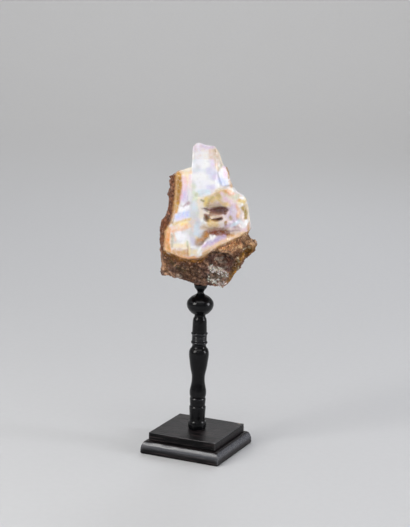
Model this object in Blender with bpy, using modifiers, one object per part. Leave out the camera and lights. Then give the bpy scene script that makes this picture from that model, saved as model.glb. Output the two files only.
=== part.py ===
"""A rough opal in its host rock, on a turned stand of blackened wood.

Row frame: +Z up, origin at the centre of the stand's underside, X and Y along the edges of the square base.
The stone has a frame of its own, in which its opal face looks to -v: u runs to the right of someone facing it,
v away from them and w up from the seat.
Lengths are millimetres; MM turns them into metres.
"""

import math

import bmesh
import bpy
from mathutils import Euler, Matrix, Vector, noise

MM = 0.001
TOUCH_GAP = 0.3  # between two pieces that rest on each other

# ---- stand
FOOT_WIDTH = 56.2
FOOT_HEIGHT = 8.5
PLINTH_WIDTH = 48.0
PLINTH_HEIGHT = 5.3
COLUMN_SEGMENTS = 24

PLINTH_EASE = 0.3  # worn-off arris round the plinth's top
FOOT_EDGE = [  # the foot's moulded edge, bottom to top: (inset from the full width, height)
    (0.4, 0.0), (0.05, 0.7), (0.0, 2.2), (0.15, 4.0), (0.5, 5.6), (0.9, 6.7), (1.4, 7.6), (1.95, 8.2),
    (2.5, FOOT_HEIGHT),
]
COLUMN_PROFILE = [  # (radius, height above the column's own underside), bottom to top
    # ring at the foot, and the drum above it with its two edges
    (5.60, 0.0), (5.75, 0.3), (5.75, 4.2), (5.62, 4.8), (4.95, 5.3), (4.89, 6.0), (5.10, 9.6), (5.48, 13.4),
    (5.54, 14.5), (5.50, 14.9), (5.24, 15.3), (5.20, 17.6), (5.34, 20.3), (5.30, 20.7), (4.98, 21.2),
    # bulb, waist and baluster
    (5.10, 21.7), (5.40, 22.8), (5.57, 24.8), (5.45, 26.5), (5.17, 28.0), (4.75, 30.0), (4.45, 32.0),
    (4.33, 34.5), (4.40, 36.2), (4.75, 38.2), (5.30, 40.6), (5.75, 43.2), (6.20, 46.6), (6.58, 49.6), (6.66, 51.2),
    (6.60, 52.4), (6.35, 53.6), (5.85, 54.7), (5.20, 55.5), (4.82, 56.2),
    # two thin beads
    (4.95, 58.3), (5.30, 58.6), (5.52, 59.1), (5.40, 59.7), (5.02, 60.0), (4.98, 62.0), (5.02, 64.5),
    (5.35, 64.8), (5.50, 65.3), (5.35, 65.8), (4.92, 66.1),
    # shaft, its round shoulder and the narrow under the ball
    (4.78, 70.1), (4.68, 73.0), (4.55, 74.4), (4.25, 75.6), (3.80, 76.4), (3.65, 77.3), (3.75, 78.1),
    # ball
    (4.50, 78.5), (5.60, 79.2), (7.00, 80.6), (8.00, 81.9), (8.60, 83.3), (8.92, 84.8), (8.85, 86.0),
    (8.40, 87.4), (7.40, 88.7), (5.90, 90.1), (4.30, 91.1), (2.90, 91.9),
    # neck and seat
    (2.25, 92.7), (2.20, 93.6), (2.80, 94.8), (3.60, 95.8), (4.15, 96.7), (4.50, 98.3),
]

PLINTH_BOTTOM = FOOT_HEIGHT + TOUCH_GAP
COLUMN_BOTTOM = PLINTH_BOTTOM + PLINTH_HEIGHT + TOUCH_GAP
SEAT_HEIGHT = COLUMN_BOTTOM + COLUMN_PROFILE[-1][1] + TOUCH_GAP

# ---- stone
STONE_TURN = math.radians(24.25)  # the stone's front is turned this far from the base's front edge
VOXEL = 0.75
STONE_TRIANGLES = 6200
SOFTENING = 3  # smoothing passes over the opal's edges
BORDER = 1.7  # width over which opal turns into rock
ROCK_SETBACK = 0.5  # the rock has weathered back from the opal by this much
SWELL_SIZE, SWELL_HEIGHT = 11.0, 0.5  # low swells on the opal
CHUNK_SIZE, CHUNK_HEIGHT = 7.0, 1.9  # broken lumps of the rock
PEBBLE_SIZE, PEBBLE_HEIGHT = 3.4, 1.1
SEAT_RADIUS = 5.0  # flat spot under the stone where the column takes it
SEAT_DEPTH = 8.0

EYE = (2.4, -1026.0, 234.0)  # the outline is the one met by lines of sight that end here
OUTLINE_REACH = 40.0  # before and behind v = 0
OUTLINE = [  # the stone's outline on the plane v = 0: (u, w)
    (-6.9, 92.9), (-4.5, 93.5), (-2.5, 93.6), (1.0, 92.2), (6.7, 91.6), (8.9, 88.8), (10.7, 84.6),
    (12.2, 80.6), (15.5, 78.0), (16.6, 74.1), (17.4, 69.9), (19.3, 65.7), (22.3, 62.5), (26.2, 60.2), (28.5, 56.6),
    (29.8, 51.7), (31.0, 43.8), (31.8, 38.8), (31.0, 34.6), (32.2, 32.5), (34.6, 31.2), (37.2, 27.7),
    (35.7, 23.4), (31.4, 20.0), (28.2, 16.2), (26.0, 11.1), (22.6, 7.4), (19.6, 2.1), (15.0, -0.9),
    (10.0, -1.8), (2.8, -1.2), (-2.9, -0.3), (-9.4, 1.3), (-15.8, 4.1), (-21.6, 4.9), (-25.5, 5.2), (-26.8, 8.2),
    (-27.1, 15.4), (-27.8, 22.7), (-28.2, 29.9), (-28.2, 37.1), (-26.8, 41.5), (-24.0, 46.6), (-22.6, 52.4),
    (-22.7, 60.2), (-22.1, 67.4), (-22.1, 71.0), (-19.5, 72.8), (-16.8, 74.9), (-11.2, 76.8), (-8.1, 77.6),
    (-7.9, 82.7), (-7.4, 89.1),
]

LUMPS = {  # convex lumps whose union is the broken stone, each by its corners (u, v, w)
    "foot": [
        (-5, -10, -0.5), (12, -10, -2.5), (20, -7, 1.0), (17, 8, 0.0), (-3, 11, -0.5), (-12, 3, 1.0),
        (-16, -9, 4.0), (-26, -5, 5.0), (-27.5, 1, 5.0), (-25, 11, 8), (-17, 15, 10),
        (23.5, -5, 7.5), (27, 0, 11.0), (24, 10, 12), (10, 17, 12),
        (-28.5, 1, 27), (-25.4, -6.5, 25.5), (-19, -11.5, 22.5), (-11.6, -16.0, 20.0), (-4.7, -17.5, 20.4),
        (2.3, -17.8, 22.3), (9.2, -17.2, 26), (16, -15.0, 30), (24.3, -10.5, 34.2), (31.5, -4.5, 36),
        (33, 3, 32), (27, 14, 26), (5, 20, 24), (-20, 18, 26), (-29, 4, 34),
    ],
    "left slab": [
        (-29, 3, 34), (-28.8, 2, 38), (-25.2, 3, 47), (-23.6, 4, 58), (-23.2, 4, 72),
        (-25.4, -6.5, 25.5), (-24.8, -6.0, 36.6), (-20.6, -5.4, 46), (-18.9, -5.0, 56), (-18.6, -4.6, 72.6),
        (-11.6, -16.4, 20.0), (-8.1, -18.2, 20.4), (-8.0, -18.4, 40), (-7.9, -16.6, 58), (-7.8, -12.0, 75),
        (-7.9, -5, 78.4), (-14.7, -4.6, 75.6), (-16.5, 2, 75.5), (-21, 9, 71), (-8, 8, 77),
        (-25, 15, 44), (-6, 18, 44), (-8, 15, 62), (2, 0, 40), (2, 0, 62),
        (-25, 14.5, 22), (-22, 17, 32), (-2, 20, 18),
    ],
    "right body": [
        (-8.1, -18.2, 20.4), (-8.0, -18.4, 40), (-7.9, -16.6, 58.4), (-1.5, -16.4, 60.6), (1.2, -16.0, 62.4),
        (8.1, -14.4, 63.6), (13.6, -11.5, 65.8), (17.8, -7.5, 67.4), (21, -3.5, 65), (27.2, -2.0, 60.4),
        (30, -0.5, 56), (31.5, 0, 50), (32.5, 0.5, 42), (32.5, 1, 36), (29.5, -6.5, 38), (27.5, -6.5, 52),
        (2.3, -18.0, 22.0), (9.2, -17.4, 26), (16, -15.4, 30), (24.3, -10.8, 34.4), (8, -16.8, 42),
        (20, -11.6, 46), (30, 9, 46), (27, 10, 56), (21, 15, 44), (16, 13, 62), (0, 18, 44), (-4, 14, 64),
        (27, 13, 28), (2, 20, 18), (22, 16, 36),
    ],
    "spire": [
        (-7.9, -16.5, 58), (-7.8, -12.6, 75), (-7.2, -6.9, 91.8), (-5.0, -5.9, 94.3), (-2.4, -5.6, 94.6),
        (1.6, -5.0, 93.4), (7.4, -3.8, 92.4), (9.4, -1.8, 89.2), (12.8, -0.5, 80.6), (16.0, -4.5, 62),
        (-1.5, -15.2, 60), (8, -11.8, 63), (9, 3.0, 89), (-5.5, 2.8, 93), (12, 5.5, 78), (-7.8, 5.5, 78),
        (14, 10, 62), (-7.5, 13, 62),
    ],
    "spire shoulder": [
        (10.5, -4.6, 79.8), (16.2, -1.0, 78.4), (17.4, 0, 74), (18.4, 0.2, 70), (20.4, 0, 65.4), (23, 0, 62),
        (9, -7.6, 76), (13.5, -7.6, 64), (9, 6, 80), (15.5, 7.5, 74), (19, 10, 62), (4, 0, 60), (4, -11, 62),
    ],
    "knob": [
        (27, -7, 35), (31.4, -5, 34.2), (34.8, -3, 32), (38, -0.5, 28.2), (36.6, 0, 23.2), (31.6, -3, 19.4),
        (26, -9.0, 17), (34.5, 6.0, 29), (31, 8, 22), (25, 10, 32), (19, -11, 25), (21, -3, 12), (22, 6, 16),
    ],
}

SWELLS = {  # rounded lumps added to the front: centre, half sizes, turns about u, v and w in degrees
    "lip over the crease": ((9.0, -11.6, 44.0), (13.0, 6.2, 5.6), (0, 2, 20)),
    "belly under the crease": ((9.0, -12.6, 29.6), (13.0, 6.4, 7.4), (0, -18, 14)),
    "belly's end": ((20.0, -9.0, 34.4), (7.5, 4.6, 3.0), (0, -20, 25)),
}

SCOOPS = {  # ellipsoids broken out: centre, half sizes, turns about u, v and w in degrees
    "left face": ((-23.0, -21.2, 52), (14.0, 14.0, 66), (-7, 5, 0)),
    "white face": ((7.0, -24.0, 76), (11.5, 13.0, 18), (-14, -12, 18)),
    "edge by the spire": ((17.0, -7.0, 85), (4.6, 6.5, 7.0), (0, -22, 0)),
    "ledge right": ((23.0, -10.5, 73), (7.0, 8.2, 9.0), (0, -35, 0)),
    "upper slit": ((10.0, -14.6, 52.2), (8.2, 5.6, 2.6), (-8, 1, 19)),
    "slit's tail": ((2.4, -16.8, 52.7), (3.8, 3.0, 0.9), (0, 14, 8)),
    "terrace": ((8.4, -17.8, 50.6), (6.8, 3.4, 2.4), (0, -3, 17)),
    "lower slit": ((3.2, -17.2, 46.8), (2.7, 3.2, 2.1), (0, 18, 5)),
    "lower slit's arm": ((9.2, -15.8, 46.4), (4.3, 3.0, 1.3), (0, -5, 16)),
    "shell in the rock": ((15.2, -18.2, 17.4), (8.4, 8.6, 8.4), (0, 0, 0)),
    "step round the shell": ((14.0, -20.6, 16.6), (11.5, 7.4, 10.4), (0, -10, 0)),
    "dent left": ((-14, -19.5, 8.0), (11, 9.0, 7.5), (0, 12, 0)),
    "dent by the knob": ((31.5, -9.0, 25.0), (4.6, 6.0, 3.4), (0, -30, 0)),
    "dent under the knob": ((29.0, -10.0, 12.0), (7.0, 9.0, 6.0), (0, -50, 0)),
    "back, low": ((-12, 30, 10), (22, 15, 12), (0, 22, 0)),
    "back, middle": ((14, 30, 42), (19, 14.5, 15), (8, -38, 0)),
    "back, left": ((-20, 27, 50), (13, 14.5, 18), (0, 24, -20)),
    "back, high": ((4, 19, 72), (13, 10, 12), (-20, 30, 0)),
}

CHIPS = {  # convex pieces broken out, each by its corners (u, v, w)
    "panel over the slits": [
        (8.2, -30, 63.6), (0.6, -30, 56.0), (1.6, -30, 52.6), (15.4, -30, 52.6), (16.8, -30, 56.4),
        (8.2, -15.4, 63.0), (1.4, -15.4, 55.8), (2.4, -14.2, 52.6), (14.8, -11.4, 52.6), (15.8, -11.8, 56.0),
    ],
}

CREASE = [  # the crease across the front, (u, v, w, radius)
    (-3.2, -19.4, 28.0, 0.8), (-0.8, -19.6, 31.2, 1.6), (2.6, -19.6, 35.0, 2.4), (7.4, -18.8, 37.4, 3.0),
    (12.8, -17.0, 38.0, 3.2), (17.5, -15.2, 37.3, 2.6), (21.5, -13.2, 36.5, 1.8), (26.0, -10.9, 35.8, 1.0),
]

ROCK_EDGE = [  # where opal gives way to host rock across the front: (u, w)
    (-60, 26.6), (-23.7, 26.6), (-18.8, 23.2), (-11.6, 19.8), (-4.7, 20.7), (2.3, 22.3), (9.2, 26.1),
    (16.1, 29.9), (24.3, 34.4), (29.8, 36.6), (60, 46),
]
RIM_EDGE = [  # the same down the left side: (w, u)
    (-20, -25.0), (24.6, -24.8), (36.6, -24.2), (42.5, -20.8), (48.6, -19.5), (60.6, -18.4), (80, -18.0),
]
BACK_SKIN = 3.0  # host rock lies behind this v
SKIN_THINS_ABOVE = 72.0  # where the rock behind begins to lie further back
SKIN_SLOPE = 0.25  # by this much per millimetre of height
SPIRE_BARE = 84.0  # the spire has no rock above this height


def clear_scene():
    for thing in list(bpy.data.objects):
        bpy.data.objects.remove(thing)


def collection(name):
    found = bpy.data.collections.new(name)
    bpy.context.scene.collection.children.link(found)
    return found


def material(name, colour, roughness):
    made = bpy.data.materials.new(name)
    made.use_nodes = True
    shader = made.node_tree.nodes["Principled BSDF"]
    shader.inputs["Base Color"].default_value = (*colour, 1.0)
    shader.inputs["Roughness"].default_value = roughness
    shader.inputs["Metallic"].default_value = 0.0
    return made


def add_object(name, shape, folder):
    mesh = bpy.data.meshes.new(name)
    bmesh.ops.recalc_face_normals(shape, faces=shape.faces)
    shape.to_mesh(mesh)
    shape.free()
    made = bpy.data.objects.new(name, mesh)
    folder.objects.link(made)
    return made


def evaluated_mesh(thing):
    graph = bpy.context.evaluated_depsgraph_get()
    return bpy.data.meshes.new_from_object(thing.evaluated_get(graph))


def boolean(target, tool, operation):
    step = target.modifiers.new(tool.name, "BOOLEAN")
    step.operation = operation
    step.object = tool
    step.solver = "EXACT"
    tool.hide_render = True
    tool.display_type = "WIRE"


# ---------------------------------------------------------------- stand

def turned(name, profile, sides, parts):
    """A turned solid from (radius, height) points, bottom to top; four sides make a square moulding."""
    corner = math.sqrt(2) if sides == 4 else 1.0
    outer = [(radius * corner, height) for radius, height in profile]
    spine = [(0.0, outer[0][1]), *outer, (0.0, outer[-1][1])]
    shape = bmesh.new()
    line = [shape.verts.new((radius * MM, 0, height * MM)) for radius, height in reversed(spine)]
    for upper, lower in zip(line, line[1:]):
        shape.edges.new((upper, lower))
    piece = add_object(name, shape, parts)
    lathe = piece.modifiers.new("turned", "SCREW")
    lathe.angle = math.tau
    lathe.steps = sides
    lathe.render_steps = sides
    lathe.use_merge_vertices = True
    lathe.merge_threshold = 0.00001
    lathe.use_smooth_shade = sides > 4
    if sides == 4:
        piece.rotation_euler.z = math.pi / 4
    return piece


def build_stand(parts):
    black = material("ebonised wood", (0.012, 0.011, 0.012), 0.3)
    half = PLINTH_WIDTH / 2
    plinth_profile = [
        (half, 0.0), (half, PLINTH_HEIGHT - PLINTH_EASE), (half - PLINTH_EASE, PLINTH_HEIGHT),
    ]
    foot_profile = [(FOOT_WIDTH / 2 - inset, height) for inset, height in FOOT_EDGE]
    foot = turned("base_lower_plate", foot_profile, 4, parts)
    plinth = turned("base_upper_plate", plinth_profile, 4, parts)
    column = turned("turned_column", COLUMN_PROFILE, COLUMN_SEGMENTS, parts)
    plinth.location.z = PLINTH_BOTTOM * MM
    column.location.z = COLUMN_BOTTOM * MM
    for piece in (foot, plinth, column):
        piece.data.materials.append(black)


# ---------------------------------------------------------------- stone

def hull(name, corners, folder):
    shape = bmesh.new()
    for corner in corners:
        shape.verts.new(Vector(corner) * MM)
    found = bmesh.ops.convex_hull(shape, input=shape.verts)
    inside = [part for part in found["geom_interior"] if isinstance(part, bmesh.types.BMVert)]
    bmesh.ops.delete(shape, geom=inside, context="VERTS")
    return add_object(name, shape, folder)


def ellipsoid(name, centre, half_sizes, turns, folder):
    shape = bmesh.new()
    bmesh.ops.create_icosphere(shape, subdivisions=4, radius=1.0)
    tilt = Euler([math.radians(turn) for turn in turns]).to_matrix().to_4x4()
    stretch = Matrix.Diagonal((*[half * MM for half in half_sizes], 1.0))
    place = Matrix.Translation(Vector(centre) * MM)
    bmesh.ops.transform(shape, matrix=place @ tilt @ stretch, verts=shape.verts)
    return add_object(name, shape, folder)


def seen_outline(folder):
    """A block whose outline is OUTLINE when seen from EYE, so it widens towards the back."""
    eye = Vector(EYE)
    shape = bmesh.new()
    ends = []
    for depth in (-OUTLINE_REACH, OUTLINE_REACH):
        stretch = 1 - depth / EYE[1]
        points = [eye + (Vector((u, 0, w)) - eye) * stretch for u, w in OUTLINE]
        ends.append([shape.verts.new(point * MM) for point in points])
    near, far = ends
    shape.faces.new(near)
    shape.faces.new(far)
    for index in range(len(OUTLINE)):
        shape.faces.new((near[index], near[index - 1], far[index - 1], far[index]))
    return add_object("seen outline", shape, folder)


def tube(name, stations, folder):
    """A round bar through (u, v, w, radius) stations."""
    curve = bpy.data.curves.new(name, "CURVE")
    curve.dimensions = "3D"
    curve.bevel_depth = MM
    curve.bevel_resolution = 3
    curve.use_fill_caps = True
    line = curve.splines.new("POLY")
    line.points.add(len(stations) - 1)
    for point, (u, v, w, radius) in zip(line.points, stations):
        point.co = (u * MM, v * MM, w * MM, 1)
        point.radius = radius
    path = bpy.data.objects.new(name, curve)
    folder.objects.link(path)
    mesh = evaluated_mesh(path)
    bpy.data.objects.remove(path)
    shape = bmesh.new()
    shape.from_mesh(mesh)
    bmesh.ops.remove_doubles(shape, verts=shape.verts, dist=1e-6)
    return add_object(name, shape, folder)


def seat_cutter(folder):
    """A short cylinder whose top lies on w = 0."""
    shape = bmesh.new()
    radius = SEAT_RADIUS * MM
    depth = SEAT_DEPTH * MM
    bmesh.ops.create_cone(shape, cap_ends=True, segments=32, radius1=radius, radius2=radius, depth=depth)
    bmesh.ops.translate(shape, verts=shape.verts, vec=(0, 0, -depth / 2))
    return add_object("seat", shape, folder)


def along(table, at):
    """Straight-line reading of a table of (at, value)."""
    for (left, low), (right, high) in zip(table, table[1:]):
        if at <= right:
            return low + (high - low) * (at - left) / (right - left)
    return table[-1][1]


def rockiness(u, v, w):
    """0 on opal, 1 on host rock, over a border about 2 mm wide."""
    below = along(ROCK_EDGE, u) - w
    outside = along(RIM_EDGE, w) - u
    behind = v - BACK_SKIN - max(0.0, w - SKIN_THINS_ABOVE) * SKIN_SLOPE
    if w > SPIRE_BARE:
        behind = -BORDER
    reach = max(below, outside, behind)
    return min(1.0, max(0.0, reach / BORDER + 0.4))


def break_surface(mesh):
    """Softens the opal's edges, then pushes the skin about: soft swells on opal, broken lumps on rock."""
    shape = bmesh.new()
    shape.from_mesh(mesh)
    opal = [vert for vert in shape.verts if rockiness(*(vert.co / MM)) < 0.5]
    axes = {"use_axis_x": True, "use_axis_y": True, "use_axis_z": True}
    for _ in range(SOFTENING):
        bmesh.ops.smooth_vert(shape, verts=opal, factor=0.5, **axes)
    shape.to_mesh(mesh)
    shape.free()
    moved = []
    for vert in mesh.vertices:
        point = vert.co / MM
        rock = rockiness(*point)
        swell = noise.noise(point / SWELL_SIZE + Vector((3.1, 0, 7.7))) * SWELL_HEIGHT
        lumps, _ = noise.voronoi(point / CHUNK_SIZE + Vector((0, 5.3, 1.9)))
        chunk = (lumps[1] - lumps[0] - 0.35) * CHUNK_HEIGHT
        grains, _ = noise.voronoi(point / PEBBLE_SIZE + Vector((8.5, 2.3, 0)))
        pebble = (0.5 - grains[0]) * PEBBLE_HEIGHT
        push = swell * (1 - rock) + (chunk + pebble - ROCK_SETBACK) * rock
        moved.append(vert.co + vert.normal * push * MM)
    for vert, place in zip(mesh.vertices, moved):
        vert.co = place


def build_stone(parts, cutters):
    first, *others = LUMPS
    block = hull("opal_specimen", LUMPS[first], parts)
    for name in others:
        boolean(block, hull(name, LUMPS[name], cutters), "UNION")
    for name, (centre, half_sizes, turns) in SWELLS.items():
        boolean(block, ellipsoid(name, centre, half_sizes, turns, cutters), "UNION")
    boolean(block, seen_outline(cutters), "INTERSECT")
    for name, (centre, half_sizes, turns) in SCOOPS.items():
        boolean(block, ellipsoid(name, centre, half_sizes, turns, cutters), "DIFFERENCE")
    for name, corners in CHIPS.items():
        boolean(block, hull(name, corners, cutters), "DIFFERENCE")
    boolean(block, tube("crease", CREASE, cutters), "DIFFERENCE")
    skin = block.modifiers.new("even skin", "REMESH")
    skin.mode = "VOXEL"
    skin.voxel_size = VOXEL * MM
    rough = evaluated_mesh(block)
    block.modifiers.clear()
    block.data = rough
    break_surface(rough)
    rough.shade_smooth()
    rough.calc_loop_triangles()
    fewer = block.modifiers.new("fewer faces", "DECIMATE")
    fewer.ratio = STONE_TRIANGLES / len(rough.loop_triangles)
    boolean(block, seat_cutter(cutters), "DIFFERENCE")

    place = Matrix.Translation((0, 0, SEAT_HEIGHT * MM)) @ Matrix.Rotation(STONE_TURN, 4, "Z")
    for thing in [block, *cutters.objects]:
        thing.matrix_world = place
    block.data.materials.clear()
    block.data.materials.append(material("opal in host rock", (0.80, 0.76, 0.78), 0.35))


def main():
    clear_scene()
    parts = collection("opal_specimen_on_stand")
    cutters = collection("cutters")
    build_stand(parts)
    build_stone(parts, cutters)


main()
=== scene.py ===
"""A rough opal, still in its host rock, standing on a turned stand of ebonised wood.

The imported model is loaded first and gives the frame: metres, +Z up, origin at the centre of the stand's
underside. The stone has a frame of its own, in which its opal face looks to -v: u runs to the right of one
who faces it, v away from them and w up from the seat. Tables are in millimetres; MM turns them into metres.

Specimen  the opal in its host rock, with the loose grains and the quartz on it
Stand     the turned column and the two plates it stands on
Studio    floor, lamps and camera
"""

import logging
import math
from dataclasses import dataclass
from enum import Enum
from functools import partial
from typing import Any, Iterable, NamedTuple, Sequence

import bmesh
import bpy
import numpy as np
from mathutils import Euler, Matrix, Quaternion, Vector, noise


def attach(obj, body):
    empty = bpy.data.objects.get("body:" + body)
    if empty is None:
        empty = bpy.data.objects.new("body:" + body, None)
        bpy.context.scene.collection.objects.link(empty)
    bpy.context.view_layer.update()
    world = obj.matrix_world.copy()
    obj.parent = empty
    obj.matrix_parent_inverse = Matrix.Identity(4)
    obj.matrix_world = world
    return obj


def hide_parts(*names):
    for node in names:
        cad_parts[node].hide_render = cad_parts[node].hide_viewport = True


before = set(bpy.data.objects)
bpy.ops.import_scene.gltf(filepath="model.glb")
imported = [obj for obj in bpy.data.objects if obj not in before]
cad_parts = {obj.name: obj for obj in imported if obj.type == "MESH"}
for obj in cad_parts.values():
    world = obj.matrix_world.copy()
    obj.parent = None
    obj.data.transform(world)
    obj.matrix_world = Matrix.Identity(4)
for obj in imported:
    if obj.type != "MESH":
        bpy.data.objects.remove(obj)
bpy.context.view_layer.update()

LOG = logging.getLogger("opal")
Corner = tuple[float, float, float]  # (u, v, w) or (x, y, z)
Spot = tuple[float, float]  # (u, w), (radius, height) or (inset, height)
MM = 0.001
ROOT = "root"
TOUCH_GAP = 0.3  # between two pieces that rest on each other

# ---------------------------------------------------------------- sizes shared with the solids, in mm

FOOT_HEIGHT = 8.5
FOOT_EDGE = [  # the foot's moulded edge, bottom to top: (inset from the full width, height)
    (0.4, 0.0), (0.05, 0.7), (0.0, 2.2), (0.15, 4.0), (0.5, 5.6), (0.9, 6.7), (1.4, 7.6), (1.95, 8.2),
    (2.5, FOOT_HEIGHT),
]

COLUMN_PROFILE = [  # (radius, height above the column's own underside), bottom to top
    # ring at the foot, and the drum above it with its two edges
    (5.60, 0.0), (5.75, 0.3), (5.75, 4.2), (5.62, 4.8), (5.30, 5.3), (5.24, 6.0), (5.28, 9.6), (5.48, 13.4),
    (5.54, 14.5), (5.50, 14.9), (5.24, 15.3), (5.20, 17.6), (5.34, 20.3), (5.30, 20.7), (4.98, 21.2),
    # bulb, waist and baluster
    (5.10, 21.7), (5.40, 22.8), (5.57, 24.8), (5.45, 26.5), (5.17, 28.0), (4.75, 30.0), (4.45, 32.0),
    (4.33, 34.5), (4.40, 36.2), (4.75, 38.2), (5.30, 40.6), (5.75, 43.2), (6.20, 46.6), (6.58, 49.6),
    (6.66, 51.2), (6.60, 52.4), (6.35, 53.6), (5.85, 54.7), (5.20, 55.5), (4.82, 56.2),
    # two thin beads
    (4.95, 58.3), (5.30, 58.6), (5.52, 59.1), (5.40, 59.7), (5.02, 60.0), (4.98, 62.0), (5.02, 64.5),
    (5.35, 64.8), (5.50, 65.3), (5.35, 65.8), (4.92, 66.1),
    # shaft, its round shoulder and the narrow under the ball
    (4.78, 70.1), (4.68, 73.0), (4.55, 74.4), (4.25, 75.6), (3.80, 76.4), (3.65, 77.3), (3.75, 78.1),
    # ball
    (4.50, 78.5), (5.60, 79.2), (7.00, 80.6), (8.00, 81.9), (8.60, 83.3), (8.92, 84.8), (8.85, 86.0),
    (8.40, 87.4), (7.40, 88.7), (5.90, 90.1), (4.30, 91.1), (2.90, 91.9),
    # neck and seat
    (2.25, 92.7), (2.20, 93.6), (2.80, 94.8), (3.60, 95.8), (4.15, 96.7), (4.50, 98.3),
]

SWELL_SIZE, SWELL_HEIGHT = 11.0, 0.5  # low swells on the opal
FLAKES = ((7.0, 0.85), (2.9, 0.36))  # shell-shaped flakes broken out of the opal: spacing, depth
CHUNK_SIZE, CHUNK_HEIGHT = 7.0, 1.9  # broken lumps of the rock
PEBBLE_SIZE, PEBBLE_HEIGHT = 3.4, 1.1
GRAIN_SIZE, GRAIN_HEIGHT = 1.5, 0.5  # grains of the sandstone

EYE = (2.4, -1026.0, 234.0)  # the outline is the one met by lines of sight that end here
OUTLINE_REACH = 40.0  # before and behind v = 0
OUTLINE = [  # the stone's outline on the plane v = 0: (u, w)
    (-6.9, 92.9), (-4.5, 93.5), (-2.5, 93.6), (1.0, 92.2), (6.7, 91.6), (8.9, 88.8), (10.7, 84.6),
    (12.2, 80.6), (15.5, 78.0), (16.6, 74.1), (17.4, 69.9), (19.3, 65.7), (22.3, 62.5), (26.2, 60.2),
    (28.5, 56.6), (29.8, 51.7), (31.0, 43.8), (31.8, 38.8), (31.0, 34.6), (32.2, 32.5), (34.6, 31.2),
    (37.2, 27.7), (35.7, 23.4), (31.4, 20.0), (28.2, 16.2), (26.0, 11.1), (22.6, 7.4), (19.6, 2.1),
    (15.0, -0.9), (10.0, -1.8), (2.8, -1.2), (-2.9, -0.3), (-9.4, 1.3), (-15.8, 4.1), (-21.6, 4.9),
    (-25.5, 5.2), (-26.8, 8.2), (-27.1, 15.4), (-27.8, 22.7), (-28.2, 29.9), (-28.2, 37.1), (-26.8, 41.5),
    (-24.0, 46.6), (-22.6, 52.4), (-22.7, 60.2), (-22.1, 67.4), (-22.1, 71.0), (-19.5, 72.8), (-16.8, 74.9),
    (-11.2, 76.8), (-8.1, 77.6), (-7.9, 82.7), (-7.4, 89.1),
]

LUMPS = {  # convex lumps whose union is the broken stone, each by its corners (u, v, w)
    "foot": [
        (-5, -10, -0.5), (12, -10, -2.5), (20, -7, 1.0), (17, 8, 0.0), (-3, 11, -0.5), (-12, 3, 1.0),
        (-16, -9, 4.0), (-26, -5, 5.0), (-27.5, 1, 5.0), (-25, 11, 8), (-17, 15, 10), (23.5, -5, 7.5),
        (27, 0, 11.0), (24, 10, 12), (10, 17, 12), (-28.5, 1, 27), (-25.4, -6.5, 25.5), (-19, -11.5, 22.5),
        (-11.6, -16.0, 20.0), (-4.7, -17.5, 20.4), (2.3, -17.8, 22.3), (9.2, -17.2, 26), (16, -15.0, 30),
        (24.3, -10.5, 34.2), (31.5, -4.5, 36), (33, 3, 32), (27, 14, 26), (5, 20, 24), (-20, 18, 26),
        (-29, 4, 34),
    ],
    "left slab": [
        (-29, 3, 34), (-28.8, 2, 38), (-25.2, 3, 47), (-23.6, 4, 58), (-23.2, 4, 72), (-25.4, -6.5, 25.5),
        (-24.8, -6.0, 36.6), (-20.6, -5.4, 46), (-18.9, -5.0, 56), (-18.6, -4.6, 72.6),
        (-11.6, -16.4, 20.0), (-8.1, -18.2, 20.4), (-8.0, -18.4, 40), (-7.9, -16.6, 58), (-7.8, -12.0, 75),
        (-7.9, -5, 78.4), (-14.7, -4.6, 75.6), (-16.5, 2, 75.5), (-21, 9, 71), (-8, 8, 77), (-25, 15, 44),
        (-6, 18, 44), (-8, 15, 62), (2, 0, 40), (2, 0, 62), (-25, 14.5, 22), (-22, 17, 32), (-2, 20, 18),
    ],
    "right body": [
        (-8.1, -18.2, 20.4), (-8.0, -18.4, 40), (-7.9, -16.6, 58.4), (-1.5, -16.4, 60.6),
        (1.2, -16.0, 62.4), (8.1, -14.4, 63.6), (13.6, -11.5, 65.8), (17.8, -7.5, 67.4), (21, -3.5, 65),
        (27.2, -2.0, 60.4), (30, -0.5, 56), (31.5, 0, 50), (32.5, 0.5, 42), (32.5, 1, 36), (29.5, -6.5, 38),
        (27.5, -6.5, 52), (2.3, -18.0, 22.0), (9.2, -17.4, 26), (16, -15.4, 30), (24.3, -10.8, 34.4),
        (8, -16.8, 42), (20, -11.6, 46), (30, 9, 46), (27, 10, 56), (21, 15, 44), (16, 13, 62), (0, 18, 44),
        (-4, 14, 64), (27, 13, 28), (2, 20, 18), (22, 16, 36),
    ],
    "spire": [
        (-7.9, -16.5, 58), (-7.8, -12.6, 75), (-7.2, -6.9, 91.8), (-5.0, -5.9, 94.3), (-2.4, -5.6, 94.6),
        (1.6, -5.0, 93.4), (7.4, -3.8, 92.4), (9.4, -1.8, 89.2), (12.8, -0.5, 80.6), (16.0, -4.5, 62),
        (-1.5, -15.2, 60), (8, -11.8, 63), (9, 3.0, 89), (-5.5, 2.8, 93), (12, 5.5, 78), (-7.8, 5.5, 78),
        (14, 10, 62), (-7.5, 13, 62),
    ],
    "spire shoulder": [
        (10.5, -4.6, 79.8), (16.2, -1.0, 78.4), (17.4, 0, 74), (18.4, 0.2, 70), (20.4, 0, 65.4),
        (23, 0, 62), (9, -7.6, 76), (13.5, -7.6, 64), (9, 6, 80), (15.5, 7.5, 74), (19, 10, 62), (4, 0, 60),
        (4, -11, 62),
    ],
    "knob": [
        (27, -7, 35), (31.4, -5, 34.2), (34.8, -3, 32), (38, -0.5, 28.2), (36.6, 0, 23.2), (31.6, -3, 19.4),
        (26, -9.0, 17), (34.5, 6.0, 29), (31, 8, 22), (25, 10, 32), (19, -11, 25), (21, -3, 12),
        (22, 6, 16),
    ],
}

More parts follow.
